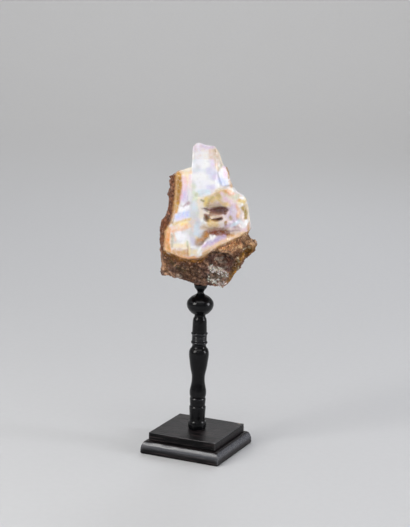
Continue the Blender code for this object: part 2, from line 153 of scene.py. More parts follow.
SWELLS = {  # rounded lumps added to the front: centre, half sizes, turns about u, v and w in degrees
    "lip over the crease": ((9.0, -11.6, 44.0), (13.0, 6.2, 5.6), (0, 2, 20)),
    "belly under the crease": ((9.0, -12.6, 29.6), (13.0, 6.4, 7.4), (0, -18, 14)),
    "belly's end": ((20.0, -9.0, 34.4), (7.5, 4.6, 3.0), (0, -20, 25)),
}

SCOOPS = {  # ellipsoids broken out: centre, half sizes, turns about u, v and w in degrees
    "left face": ((-23.0, -21.2, 52), (14.0, 14.0, 66), (-7, 5, 0)),
    "white face": ((7.0, -24.0, 76), (11.5, 13.0, 18), (-14, -12, 18)),
    "edge by the spire": ((17.0, -7.0, 85), (4.6, 6.5, 7.0), (0, -22, 0)),
    "ledge right": ((23.0, -10.5, 73), (7.0, 8.2, 9.0), (0, -35, 0)),
    "upper slit": ((10.0, -14.6, 52.2), (8.2, 5.6, 2.6), (-8, 1, 19)),
    "slit's tail": ((2.4, -16.8, 52.7), (3.8, 3.0, 0.9), (0, 14, 8)),
    "terrace": ((8.4, -17.8, 50.6), (6.8, 3.4, 2.4), (0, -3, 17)),
    "lower slit": ((3.2, -17.2, 46.8), (2.7, 3.2, 2.1), (0, 18, 5)),
    "lower slit's arm": ((9.2, -15.8, 46.4), (4.3, 3.0, 1.3), (0, -5, 16)),
    "shell in the rock": ((15.2, -18.2, 17.4), (8.4, 8.6, 8.4), (0, 0, 0)),
    "step round the shell": ((14.0, -20.6, 16.6), (11.5, 7.4, 10.4), (0, -10, 0)),
    "dent left": ((-14, -19.5, 8.0), (11, 9.0, 7.5), (0, 12, 0)),
    "dent by the knob": ((31.5, -9.0, 25.0), (4.6, 6.0, 3.4), (0, -30, 0)),
    "dent under the knob": ((29.0, -10.0, 12.0), (7.0, 9.0, 6.0), (0, -50, 0)),
    "back, low": ((-12, 30, 10), (22, 15, 12), (0, 22, 0)),
    "back, middle": ((14, 30, 42), (19, 14.5, 15), (8, -38, 0)),
    "back, left": ((-20, 27, 50), (13, 14.5, 18), (0, 24, -20)),
    "back, high": ((4, 19, 72), (13, 10, 12), (-20, 30, 0)),
    "bright flake": ((26.8, -12.6, 43.4), (3.2, 3.6, 2.2), (0, -20, 10)),
}

CHIPS = {  # convex pieces broken out, each by its corners (u, v, w)
    "panel over the slits": [
        (8.2, -30, 63.6), (0.6, -30, 56.0), (1.6, -30, 52.6), (15.4, -30, 52.6), (16.8, -30, 56.4),
        (8.2, -15.4, 63.0), (1.4, -15.4, 55.8), (2.4, -14.2, 52.6), (14.8, -11.4, 52.6),
        (15.8, -11.8, 56.0),
    ],
}

CREASE = [  # the crease across the front, (u, v, w, radius)
    (-3.2, -19.4, 28.0, 0.8), (-0.8, -19.6, 31.2, 1.6), (2.6, -19.6, 35.0, 2.4), (7.4, -18.8, 37.4, 3.0),
    (12.8, -17.0, 38.0, 3.2), (17.5, -15.2, 37.3, 2.6), (21.5, -13.2, 36.5, 1.8), (26.0, -10.9, 35.8, 1.0),
]

ROCK_EDGE = [  # where opal gives way to host rock across the front: (u, w)
    (-60, 23.5), (-24.5, 23.2), (-19.2, 21.9), (-13.9, 20.4), (-7.4, 19.7), (-0.9, 20.8), (2.9, 22.7),
    (6.7, 26.1), (11.7, 29.3), (18.1, 32.0), (24.5, 34.4), (29.7, 36.6), (60, 46),
]

RIM_EDGE = [  # the same down the left side: (w, u)
    (-20, -25.0), (24.6, -24.8), (36.6, -24.2), (42.5, -20.8), (48.6, -19.5), (60.6, -18.4), (80, -18.0),
]

COARSE_CLOTS = ((4.2, 1.8, 0.45), (2.0, 1.6, 0.4))  # clots in the rock: mm across, drawn out, how strong
FINE_CLOTS = ((1.5, 1.3, 0.45),)
FRONT_ENDS = 7.0  # bands and stains have faded out at this v
FRONT_FADE = 4.0  # over this distance
QUARTZ_PATCHES = [((6.4, 14.2), (9.6, 12.7), (12.3, 11.9)), ((13.6, 11.2), (16.3, 7.9)),
                  ((5.9, 5.9), (9.9, 4.9), (14.5, 2.5))]


class Slot(Enum):
    """Material slots of the record."""

    STONE = "opal_in_host_rock"
    WOOD = "ebonised_wood"


class Tint(Enum):
    """Colours of the opal, its iron stains and its host rock, and of the highlights and shade painted on
    them, in sRGB hex.
    """

    WHITE = "#ffffff"
    SNOW = "#f8f8ff"
    CREAM = "#f7ecd8"
    IVORY = "#f3e4c4"
    PALE_PEACH = "#f6d3ac"
    PEACH = "#f5c48f"
    ORANGE = "#e89a52"
    AMBER = "#d08a3e"
    OCHRE = "#c89540"
    YELLOW = "#ecd58c"
    LEMON = "#fbeab0"
    OLIVE = "#b39752"
    KHAKI = "#a9996c"
    PALE_OCHRE = "#e6cb92"
    PALE_GREEN = "#e1e8cf"
    GREY_GREEN = "#ced1ba"
    ICE = "#deeaf5"
    BLUE = "#c2d1fb"
    LAVENDER = "#dbd8f7"
    HEATHER = "#d6cae6"
    VIOLET = "#ead5f3"
    ROSE = "#f2c3d8"
    PALE_ROSE = "#efd5de"
    BLUSH = "#eddad2"
    SALMON = "#f2ae8c"
    MAUVE = "#b99da6"
    DUSK = "#aca6c6"
    PEARL = "#dcdce0"
    SAND = "#dfcab2"
    TAN = "#d2a878"
    BUFF = "#cdb694"
    PUTTY = "#a9826c"
    UMBER = "#7b4d36"
    DARK_UMBER = "#563226"
    RUST = "#91481e"
    RUSSET = "#8e5a42"
    SEPIA = "#5c4535"
    BISTRE = "#36221a"
    CLAY = "#a67646"
    STONE_GREY = "#7d7470"
    ORCHID = "#cbb2d5"
    PLUM = "#734234"
    CHESTNUT = "#754420"
    HONEY = "#a87a32"
    WOOD_ROSE = "#a27d80"
    SLAB = "#f7be9e"
    FELDSPAR = "#cfa999"
    GRIT = "#d0c4c0"
    GOLD = "#b98a45"
    MOSS = "#5f5030"
    SIENNA = "#8a4a30"
    LOAM = "#a8845a"
    CORAL = "#ecc0a4"
    DRY_CLAY = "#ab8468"

    @property
    def rgb(self) -> Any:
        """Its linear red, green and blue."""
        return np.array(linear(self.value)[:3])


class Mark(NamedTuple):
    """A soft band, thread or patch of one tint, some of them painted highlights or shade: half width and fade
    in mm, then points (u, w).
    """

    tint: Tint
    half_width: float
    fade: float
    share: float
    points: tuple[Spot, ...]


def marks(*rows: tuple[Any, ...]) -> list[Mark]:
    """Reads marks from rows.

    Args:
        *rows: Each a tint, the half width, fade and share, then u, w, u, w and so on.

    Returns:
        The marks, in the order in which they are laid.
    """
    return [Mark(*row[:4], tuple(zip(row[4::2], row[5::2]))) for row in rows]


OPAL_MARKS = marks(
    # the ground of the right side
    (Tint.BLUSH, 9.2, 5.2, 0.9, 12.3, 55.4, 17.6, 49.0, 21.7, 44.3),
    (Tint.PEARL, 3.9, 2.6, 0.9, -3.8, 59.0, -3.2, 36.4),
    # the left face: bands from peach at the top to orange at the foot
    (Tint.PALE_PEACH, 0.8, 0.7, 0.9, -17.9, 73.5, -14.0, 74.8, -10.7, 74.8, -8.2, 76.0),
    (Tint.CREAM, 0.7, 0.6, 0.9, -11.6, 76.8, -8.3, 77.9),
    # painted highlight: the ivory spot is a glint at the top of the left face
    (Tint.IVORY, 2.0, 1.6, 0.9, -11.0, 73.3, -10.6, 70.2),
    (Tint.ROSE, 1.7, 2.0, 0.6, -13.2, 70.4, -12.4, 65.4, -13.6, 61.3),
    (Tint.PALE_ROSE, 0.7, 0.7, 0.9, -8.5, 73.6, -8.3, 64.9),
    (Tint.HEATHER, 2.1, 2.0, 0.9, -12.3, 59.7, -10.3, 59.2),
    (Tint.ROSE, 0.8, 0.9, 0.6, -14.3, 60.6, -15.5, 56.6, -16.7, 52.6),
    (Tint.PEARL, 0.7, 0.7, 0.9, -8.9, 64.8, -8.7, 56.1, -8.5, 47.8),
    (Tint.MAUVE, 0.5, 0.6, 0.9, -17.0, 51.3, -14.0, 52.5, -11.5, 54.1, -8.9, 56.7),
    (Tint.SNOW, 0.8, 0.7, 0.9, -16.0, 51.7, -11.4, 52.9, -9.5, 54.1),
    # painted highlight: the white line is a glint on the left face
    (Tint.WHITE, 0.9, 0.7, 0.9, -16.9, 49.9, -13.3, 50.6, -11.4, 51.3),
    (Tint.BLUE, 1.6, 1.3, 0.75, -17.2, 46.9, -13.3, 47.8, -10.0, 49.5),
    (Tint.LAVENDER, 1.0, 0.9, 0.9, -15.8, 44.8, -11.3, 46.7),
    (Tint.PALE_OCHRE, 0.6, 0.7, 0.9, -18.3, 41.7, -14.4, 43.4, -11.2, 45.2, -8.0, 46.6),
    (Tint.LEMON, 0.9, 0.7, 0.9, -13.8, 42.0, -9.9, 43.8),
    (Tint.PEACH, 1.7, 1.0, 0.55, -19.5, 38.3, -15.7, 39.6, -11.1, 41.5, -8.5, 42.7),
    (Tint.ORANGE, 0.4, 0.5, 0.3, -20.2, 36.3, -16.9, 37.7, -13.0, 38.9, -9.1, 40.7),
    (Tint.ORANGE, 0.5, 0.5, 0.3, -11.4, 41.0, -9.8, 41.7),
    (Tint.SNOW, 1.6, 1.4, 0.6, -15.5, 33.8, -12.9, 33.6, -10.9, 35.2),
    (Tint.ORANGE, 0.5, 0.6, 0.4, -18.8, 36.5, -18.1, 34.0, -17.1, 31.2),
    (Tint.KHAKI, 0.9, 0.8, 0.6, -19.8, 33.7, -19.0, 29.9, -19.3, 27.3),
    (Tint.IVORY, 1.2, 1.0, 0.9, -16.7, 27.8, -11.4, 29.0, -9.5, 30.2),
    (Tint.GREY_GREEN, 0.5, 0.5, 0.9, -9.2, 31.6, -9.1, 28.3),
    (Tint.TAN, 1.7, 1.3, 0.9, -17.2, 23.7, -12.6, 23.9, -9.4, 24.7),
    (Tint.CREAM, 0.5, 0.5, 0.9, -11.7, 27.0, -9.5, 27.6),
    (Tint.CLAY, 0.5, 0.4, 0.4, -8.9, 29.0, -8.7, 22.4),
    (Tint.AMBER, 0.8, 0.7, 0.5, -17.8, 20.3, -11.2, 20.8, -6.1, 21.6, -0.9, 21.8),
    # ochre and orange along the rim
    (Tint.OCHRE, 2.3, 0.9, 0.95, -16.2, 73.1, -15.8, 67.4, -16.0, 62.9, -16.6, 58.4, -17.4, 53.8,
     -17.8, 50.0),
    (Tint.HONEY, 2.0, 0.8, 0.9, -16.3, 70.1, -16.5, 66.1, -16.5, 61.6, -17.0, 57.0),
    (Tint.TAN, 0.4, 0.5, 0.8, -18.1, 72.2, -17.9, 63.3, -18.0, 55.0),
    (Tint.PEACH, 2.2, 1.0, 0.9, -23.2, 37.0, -22.7, 30.6, -21.9, 24.7),
    (Tint.ORANGE, 0.8, 0.9, 0.7, -21.5, 38.0, -22.4, 33.2, -22.3, 28.1, -20.9, 23.6),
    (Tint.ORANGE, 0.6, 0.8, 0.8, -19.2, 21.6, -15.2, 20.5, -10.6, 20.6, -4.1, 21.3),
    (Tint.CLAY, 0.6, 0.5, 0.6, -17.5, 53.2, -18.5, 48.6, -19.3, 42.8),
    (Tint.OLIVE, 0.7, 0.7, 0.4, -22.6, 28.7, -21.9, 26.2),
    # the pale strip beside the ridge
    (Tint.PALE_GREEN, 1.7, 1.3, 0.7, -6.0, 66.9, -5.2, 61.3, -4.4, 58.3),
    (Tint.ICE, 1.4, 1.2, 0.9, -4.4, 56.4, -4.9, 52.5),
    (Tint.PEARL, 2.2, 1.6, 0.9, -3.9, 50.0, -3.5, 44.8),
    (Tint.BLUSH, 1.0, 1.0, 0.9, -5.9, 45.4, -5.5, 40.3),
    (Tint.ICE, 1.3, 1.3, 0.9, -3.4, 42.3, -3.2, 35.8),
    (Tint.IVORY, 0.9, 0.8, 0.9, -3.5, 34.5, -3.1, 31.2),
    (Tint.LAVENDER, 1.3, 1.0, 0.5, -5.4, 33.1, -4.4, 29.8),
    # painted highlight: a white flash on the strip
    (Tint.WHITE, 0.7, 0.5, 0.9, -6.6, 28.3, -4.3, 28.8),
    (Tint.IVORY, 1.4, 0.9, 0.9, -6.2, 25.5, -2.9, 24.8),
    (Tint.LEMON, 0.5, 0.3, 0.6, -7.8, 28.4, -7.7, 23.2),
    # painted highlight: a white tick of light low on the strip
    (Tint.WHITE, 0.5, 0.4, 0.9, -0.2, 29.4, -1.4, 27.0, -2.3, 24.9),
    # the spire
    (Tint.VIOLET, 2.2, 2.0, 0.4, -6.1, 92.3, -0.9, 91.7, 5.5, 91.1),
    (Tint.HEATHER, 0.5, 0.5, 0.5, -2.8, 91.7, 0.4, 91.4, 4.9, 91.2),
    (Tint.LAVENDER, 1.4, 1.3, 0.35, -4.7, 89.3, -3.3, 84.9),
    (Tint.WHITE, 2.9, 2.0, 0.9, -0.1, 86.7, 0.7, 79.9),
    (Tint.BLUSH, 1.2, 0.9, 0.9, 4.3, 89.2, 4.7, 84.8),
    (Tint.VIOLET, 1.2, 1.0, 0.5, 5.1, 83.0, 5.5, 78.6),
    (Tint.SNOW, 1.5, 1.4, 0.8, -3.8, 87.2, -2.8, 82.8),
    (Tint.SAND, 2.0, 1.0, 0.7, 7.2, 89.2, 8.3, 84.8, 9.7, 78.4),
    (Tint.KHAKI, 0.5, 0.4, 0.6, 6.8, 89.7, 7.5, 88.8),
    (Tint.KHAKI, 0.5, 0.4, 0.3, 8.4, 85.5, 8.8, 84.4),
    (Tint.KHAKI, 0.5, 0.5, 0.45, 9.9, 78.6, 11.0, 79.8),
    (Tint.PALE_PEACH, 0.5, 0.4, 0.5, 7.6, 80.8, 9.1, 77.5),
    (Tint.CREAM, 0.6, 0.5, 0.9, 7.9, 90.3, 10.2, 85.7, 12.3, 80.4),
    (Tint.ICE, 0.8, 0.8, 0.4, -6.3, 77.2, -0.5, 77.3, 3.3, 77.8),
    (Tint.LAVENDER, 1.7, 1.6, 0.5, 3.4, 76.8, 6.0, 75.5, 5.4, 73.0),
    (Tint.VIOLET, 1.0, 1.0, 0.4, 6.7, 73.3, 9.3, 72.2),
    # painted highlight: the broad white patch on the spire
    (Tint.WHITE, 3.0, 1.7, 0.9, -4.2, 72.5, -0.4, 72.5),
    (Tint.ROSE, 0.9, 0.9, 0.6, 13.4, 78.1, 13.7, 74.9, 14.1, 71.8),
    (Tint.BLUE, 1.8, 1.6, 0.7, 11.3, 69.6, 13.9, 69.3),
    (Tint.WHITE, 1.3, 1.2, 0.9, 2.9, 70.0, 6.8, 68.6, 10.1, 66.2),
    (Tint.SNOW, 2.0, 1.3, 0.9, -3.5, 69.6, 1.8, 69.2),
    (Tint.SNOW, 1.4, 1.2, 0.7, -3.4, 65.4, 2.8, 65.2),
    (Tint.LAVENDER, 1.0, 1.0, 0.6, 3.0, 66.7, 6.8, 66.8),
    (Tint.ICE, 1.1, 1.0, 0.9, -2.1, 63.8, 3.1, 64.1),
    (Tint.GREY_GREEN, 0.6, 0.5, 0.9, -4.3, 62.5, -4.8, 61.5),
    # painted highlight: the cream line along the spire's lower edge
    (Tint.CREAM, 0.6, 0.5, 0.9, -2.6, 60.0, 0.6, 59.9, 3.8, 60.9, 7.6, 63.2, 10.7, 65.0),
    (Tint.HONEY, 0.5, 0.5, 0.9, 14.9, 78.0, 15.8, 75.3, 16.3, 71.6),
    (Tint.TAN, 0.6, 0.7, 0.8, 16.8, 69.7, 18.2, 66.7),
    # ochre round the panel over the slits
    (Tint.OCHRE, 1.4, 1.1, 0.4, 2.5, 58.8, 5.6, 60.4, 9.5, 61.9, 13.0, 64.0),
    (Tint.MAUVE, 3.0, 1.2, 0.5, 5.2, 56.6, 9.7, 56.8),
    (Tint.WOOD_ROSE, 1.2, 1.0, 0.4, 4.6, 54.9, 10.4, 54.4),
    (Tint.PALE_OCHRE, 1.2, 1.2, 0.7, 18.6, 60.9, 22.5, 59.9, 26.5, 57.0),
    (Tint.PALE_OCHRE, 0.8, 0.9, 0.7, 27.9, 53.8, 28.5, 46.8),
    (Tint.PALE_OCHRE, 2.0, 1.4, 0.9, 3.3, 57.9, 6.0, 59.2, 9.8, 61.0, 12.9, 63.3, 15.9, 64.0),
    (Tint.OLIVE, 0.9, 0.8, 0.5, 8.7, 63.1, 10.2, 61.5),
    (Tint.YELLOW, 1.0, 0.9, 0.9, 2.2, 60.0, 1.6, 55.8),
    (Tint.CREAM, 1.6, 1.3, 0.9, -2.2, 57.1, -1.1, 53.2, -0.4, 49.4),
    (Tint.KHAKI, 0.5, 0.4, 0.9, -1.1, 58.9, 0.4, 58.3),
    (Tint.BUFF, 1.0, 0.8, 0.6, 3.6, 54.9, 7.2, 54.6, 11.7, 55.4),
    (Tint.OLIVE, 0.5, 0.5, 0.35, 2.6, 54.1, 3.9, 58.7, 6.4, 60.9),
    (Tint.PALE_OCHRE, 0.6, 0.5, 0.9, 8.9, 60.6, 12.0, 56.8, 14.7, 54.0),
    (Tint.PALE_ROSE, 0.9, 0.7, 0.9, 12.1, 62.9, 14.1, 59.9, 16.1, 57.3),
    (Tint.PALE_OCHRE, 0.8, 0.7, 0.9, 14.2, 56.5, 16.8, 56.0, 18.8, 54.4),
    (Tint.ORANGE, 0.8, 0.8, 0.6, 14.9, 64.5, 17.2, 63.3),
    (Tint.SALMON, 0.9, 0.8, 0.6, 17.0, 62.4, 19.2, 62.2),
    # the right shoulder
    (Tint.CREAM, 1.6, 1.3, 0.9, 19.3, 59.0, 22.6, 56.9),
    (Tint.GREY_GREEN, 1.2, 1.0, 0.5, 20.6, 59.8, 21.9, 60.6),
    (Tint.PALE_ROSE, 1.2, 1.0, 0.9, 18.1, 56.9, 20.1, 54.6),
    (Tint.HEATHER, 2.0, 1.7, 0.65, 18.9, 52.1, 20.9, 49.4, 18.3, 48.0),
    (Tint.PEACH, 0.7, 0.7, 0.7, 22.0, 54.7, 23.4, 51.2, 22.5, 46.8),
    (Tint.YELLOW, 1.0, 0.8, 0.9, 23.6, 57.4, 27.2, 57.2, 26.2, 55.9),
    (Tint.SALMON, 0.5, 0.5, 0.35, 21.9, 57.5, 24.5, 58.9),
    (Tint.CREAM, 0.6, 0.5, 0.9, 25.2, 59.1, 27.5, 58.0),
    # painted highlights: two white glints on the shoulder
    (Tint.WHITE, 0.5, 0.4, 0.9, 25.5, 55.1, 25.8, 54.0),
    (Tint.WHITE, 0.5, 0.4, 0.9, 24.0, 59.4, 26.0, 58.8),
    (Tint.OLIVE, 1.0, 0.8, 0.9, 26.1, 53.0, 28.0, 50.1, 27.9, 46.3),
    (Tint.CREAM, 0.6, 0.6, 0.9, 29.7, 51.9, 30.5, 44.3),
    (Tint.OLIVE, 0.7, 0.7, 0.9, 18.0, 47.7, 18.4, 46.4),
    (Tint.HONEY, 0.7, 0.5, 0.9, 14.8, 44.9, 15.2, 43.0),
    (Tint.ORCHID, 1.2, 1.2, 0.6, 16.6, 41.8, 19.1, 43.6, 21.6, 45.8),
    (Tint.ICE, 0.9, 0.8, 0.9, 19.1, 41.9, 23.6, 44.5),
    (Tint.MAUVE, 1.2, 1.0, 0.9, 20.5, 40.2, 24.4, 39.8),
    (Tint.ROSE, 1.3, 1.2, 0.5, 25.1, 38.2, 27.1, 38.9),
    (Tint.TAN, 0.9, 0.8, 0.9, 29.3, 42.2, 30.0, 38.5),
    # painted highlight: the white star low on the right
    (Tint.WHITE, 1.3, 0.6, 0.9, 25.3, 43.6, 27.0, 40.9, 28.6, 43.6),
    # the slits
    (Tint.WOOD_ROSE, 1.6, 0.8, 0.9, 4.7, 50.7, 8.6, 50.6, 13.4, 51.0),
    # painted shadow: the dark line round the upper slit's top edge
    (Tint.UMBER, 0.6, 0.5, 0.85, 1.4, 53.5, 4.0, 51.6, 7.2, 52.3, 11.1, 52.8, 15.0, 52.7, 16.0, 51.8,
     14.4, 50.0),
    (Tint.PUTTY, 1.0, 0.7, 0.9, 4.1, 49.6, 7.3, 49.4, 11.2, 49.7),
    (Tint.SAND, 0.6, 0.4, 0.9, 5.4, 48.1, 9.3, 48.2, 12.5, 48.7),
    (Tint.CREAM, 0.5, 0.4, 0.9, 2.5, 50.6, 3.8, 50.6),
    (Tint.RUSSET, 1.0, 0.6, 0.9, 1.8, 49.1, 2.8, 47.0, 4.0, 45.5),
    (Tint.RUSSET, 0.8, 0.5, 0.9, 4.8, 46.1, 8.7, 45.7, 12.3, 47.4),
    (Tint.PALE_OCHRE, 1.4, 1.2, 0.9, 4.6, 44.4, 7.5, 43.6),
    (Tint.SAND, 1.3, 1.3, 0.9, 0.8, 41.8, 4.4, 40.5, 9.4, 42.3),
    (Tint.PALE_OCHRE, 1.2, 1.2, 0.9, 4.3, 44.3, 8.8, 43.7),
    # the crease, and the belly under it
    # painted shade over the crease, laid on its brown stain
    (Tint.DRY_CLAY, 1.5, 1.1, 0.85, 1.9, 36.2, 5.0, 39.1, 9.5, 40.1, 15.7, 39.8),
    (Tint.BLUSH, 1.2, 1.2, 0.7, 17.5, 39.6, 20.9, 38.4, 25.1, 39.3),
    # painted shade in the crease, laid on its brown stain
    (Tint.SIENNA, 1.5, 0.9, 0.85, 4.6, 37.9, 10.9, 37.8, 16.5, 37.3),
    (Tint.RUST, 0.8, 0.6, 0.85, 10.0, 36.4, 14.1, 36.2, 17.5, 36.4),
    (Tint.LOAM, 2.4, 1.5, 0.7, -1.8, 31.6, 0.6, 33.8, 3.0, 36.4),
    (Tint.AMBER, 0.9, 0.9, 0.7, -1.2, 32.9, 1.3, 34.8, 3.2, 36.8),
    (Tint.ORCHID, 1.5, 1.0, 0.85, 1.5, 29.2, 4.6, 31.0, 9.0, 33.1, 14.2, 34.6),
    # painted highlight: the small white V on the belly
    (Tint.WHITE, 0.5, 0.4, 0.7, 5.4, 36.1, 6.8, 33.2, 8.0, 35.8),
    (Tint.PALE_PEACH, 1.8, 0.9, 0.9, 2.2, 25.0, 6.0, 27.6, 10.4, 30.5, 15.5, 32.8, 21.3, 34.5, 26.5, 36.0),
    (Tint.TAN, 0.4, 0.5, 0.7, 0.9, 24.1, 4.8, 26.4),
    (Tint.CHESTNUT, 0.6, 0.5, 0.45, -0.5, 30.6, 1.7, 33.3, 3.2, 34.8),
    (Tint.WOOD_ROSE, 0.3, 0.4, 0.5, 17.0, 38.6, 21.2, 38.9, 24.2, 38.4),
    (Tint.OCHRE, 0.7, 0.7, 0.6, 17.1, 35.2, 20.0, 36.3),
    # painted shade on the belly under the crease
    (Tint.DUSK, 0.7, 0.6, 0.4, 4.0, 31.8, 8.4, 33.8, 10.9, 35.0),
    (Tint.BLUSH, 0.7, 0.7, 0.9, 0.9, 27.3, 4.0, 29.2),
    (Tint.HONEY, 0.6, 0.5, 0.9, 0.3, 22.5, 4.2, 24.1),
)

ROCK_MARKS = marks(
    (Tint.RUSSET, 2.4, 0.9, 0.7, -20.1, 70.2, -20.2, 63.1, -21.3, 53.1, -23.8, 44.8, -25.9, 37.2,
     -26.4, 28.9, -25.3, 22.9),
    (Tint.RUSSET, 0.9, 0.8, 0.7, -23.7, 42.5, -25.6, 37.4, -26.1, 27.8),
    (Tint.SEPIA, 5.9, 3.9, 0.5, -19.0, 13.7, -11.1, 10.2, -0.7, 9.9),
    (Tint.CLAY, 0.9, 0.9, 0.7, -23.8, 21.1, -19.8, 19.7, -15.2, 18.4, -7.3, 18.3, -0.9, 19.4),
    (Tint.PUTTY, 0.8, 0.9, 0.9, -24.3, 14.3, -21.6, 7.8),
    # the layered slab under the opal
    (Tint.SLAB, 5.2, 2.2, 0.95, 12.0, 28.6, 19.5, 28.6, 25.7, 30.4),
    (Tint.CORAL, 2.4, 1.0, 1.0, 8.6, 26.4, 13.0, 28.8, 18.1, 31.0, 24.0, 32.9, 28.0, 34.5),
    (Tint.TAN, 0.6, 0.5, 0.8, 8.6, 28.1, 13.0, 30.6, 18.1, 32.5, 23.3, 33.5),
    (Tint.TAN, 0.5, 0.6, 0.6, 13.8, 26.6, 18.6, 28.9, 23.2, 30.0),
    (Tint.RUSSET, 0.5, 0.5, 0.7, 10.5, 27.7, 15.6, 29.7, 22.1, 31.6),
    (Tint.SALMON, 0.5, 0.5, 0.6, 9.2, 27.1, 13.7, 28.1, 17.6, 29.4, 22.1, 30.6),
    (Tint.RUSSET, 0.8, 0.7, 0.7, 18.3, 26.1, 22.2, 28.3, 25.3, 31.9),
    (Tint.CORAL, 0.8, 0.7, 0.8, 16.4, 25.3, 20.3, 26.4, 25.5, 27.6),
    # the hollow, its dark roof, which is painted shadow under the overhang, and its pale lip, which is a
    # painted highlight
    (Tint.BISTRE, 0.9, 0.6, 0.95, 6.7, 25.7, 11.9, 24.5, 16.5, 21.8, 20.5, 18.7, 21.9, 15.8),
    (Tint.FELDSPAR, 0.35, 0.35, 0.8, 7.9, 27.4, 12.5, 26.8, 17.1, 25.0, 21.1, 21.4),
    (Tint.PLUM, 1.6, 1.2, 0.5, 13.4, 18.6, 18.6, 16.8),
    (Tint.GRIT, 0.8, 0.7, 0.8, 9.5, 19.6, 13.3, 20.0),
    (Tint.GRIT, 0.6, 0.6, 0.7, 11.5, 17.3, 15.4, 17.3),
    (Tint.GRIT, 0.5, 0.5, 0.6, 16.1, 14.1, 14.2, 12.2),
    # the knob; the dark lines between its lumps are painted shade
    (Tint.BISTRE, 0.6, 0.6, 0.6, 26.7, 31.6, 27.4, 27.7, 26.9, 23.8),
    (Tint.BISTRE, 0.4, 0.5, 0.7, 29.9, 33.4, 31.3, 30.0),
    (Tint.CORAL, 2.3, 1.4, 0.7, 29.6, 31.6, 34.7, 28.9, 32.7, 27.4),
    (Tint.CREAM, 0.4, 0.35, 0.9, 27.2, 25.9, 28.5, 25.8),
    (Tint.CREAM, 0.4, 0.35, 0.9, 30.5, 26.5, 31.8, 25.4),
    (Tint.HONEY, 1.6, 1.1, 0.6, 27.6, 22.6, 31.6, 24.1, 34.1, 26.2),
    # iron stain down the right edge, with cream lines on it that are painted highlights
    (Tint.GOLD, 1.8, 1.0, 0.6, 26.3, 21.3, 23.9, 16.3, 21.4, 11.1, 18.3, 5.3),
    (Tint.CREAM, 0.3, 0.4, 0.8, 23.4, 20.2, 24.5, 17.1),
    (Tint.CREAM, 0.3, 0.4, 0.7, 24.3, 13.7, 24.2, 9.6),
    (Tint.BISTRE, 0.5, 0.5, 0.7, 22.6, 17.1, 21.4, 13.1, 19.5, 9.1),
    # the iron seam under the opal
    (Tint.DARK_UMBER, 0.7, 0.9, 0.8, -23.8, 19.9, -18.5, 19.0, -12.5, 17.5, -6.0, 17.3, -0.2, 18.0,
     3.6, 20.7),
    (Tint.CLAY, 0.5, 0.7, 0.6, -24.5, 21.4, -19.1, 20.2, -13.2, 18.9, -6.7, 18.3, -0.2, 19.3, 2.9, 21.9),
    # the lower left
    (Tint.FELDSPAR, 0.5, 0.6, 0.8, -25.8, 18.1, -25.3, 13.9, -24.9, 9.1, -23.5, 6.7),
    (Tint.FELDSPAR, 0.4, 0.5, 0.7, -22.9, 7.6, -20.3, 9.4, -18.2, 7.0),
    (Tint.GRIT, 0.4, 0.5, 0.7, -15.6, 7.9, -13.0, 6.6),
    (Tint.SEPIA, 1.0, 1.0, 0.7, -13.8, 14.6, -8.5, 12.1, -2.0, 11.2),
    (Tint.MOSS, 0.9, 1.0, 0.6, -19.7, 16.4, -15.7, 13.6, -11.1, 11.7),
    # white quartz
    (Tint.GRIT, 1.3, 1.0, 0.8, 6.4, 14.2, 9.6, 12.7, 12.3, 11.9),
    (Tint.GRIT, 1.1, 0.9, 0.8, 13.6, 11.2, 16.3, 7.9),
    (Tint.SNOW, 0.7, 0.6, 0.9, 7.7, 13.7, 11.0, 12.0),
    (Tint.GRIT, 1.3, 1.0, 0.8, 5.9, 5.9, 9.9, 4.9, 14.5, 2.5),
    (Tint.SNOW, 0.8, 0.5, 0.9, 8.6, 4.6, 13.8, 2.5),
    (Tint.STONE_GREY, 1.8, 1.2, 0.7, 6.5, 9.2, 12.4, 7.7),
)


# ---------------------------------------------------------------- shared helpers


def linear(colour: str) -> tuple[float, float, float, float]:
    """Turns a colour from sRGB hex to linear.

    Args:
        colour: "#rrggbb".

    Returns:
        Linear red, green, blue and an alpha of 1.
    """
    parts = (int(colour[start : start + 2], 16) / 255 for start in (1, 3, 5))
    red, green, blue = (part / 12.92 if part <= 0.04045 else ((part + 0.055) / 1.055) ** 2.4
                        for part in parts)
    return red, green, blue, 1.0


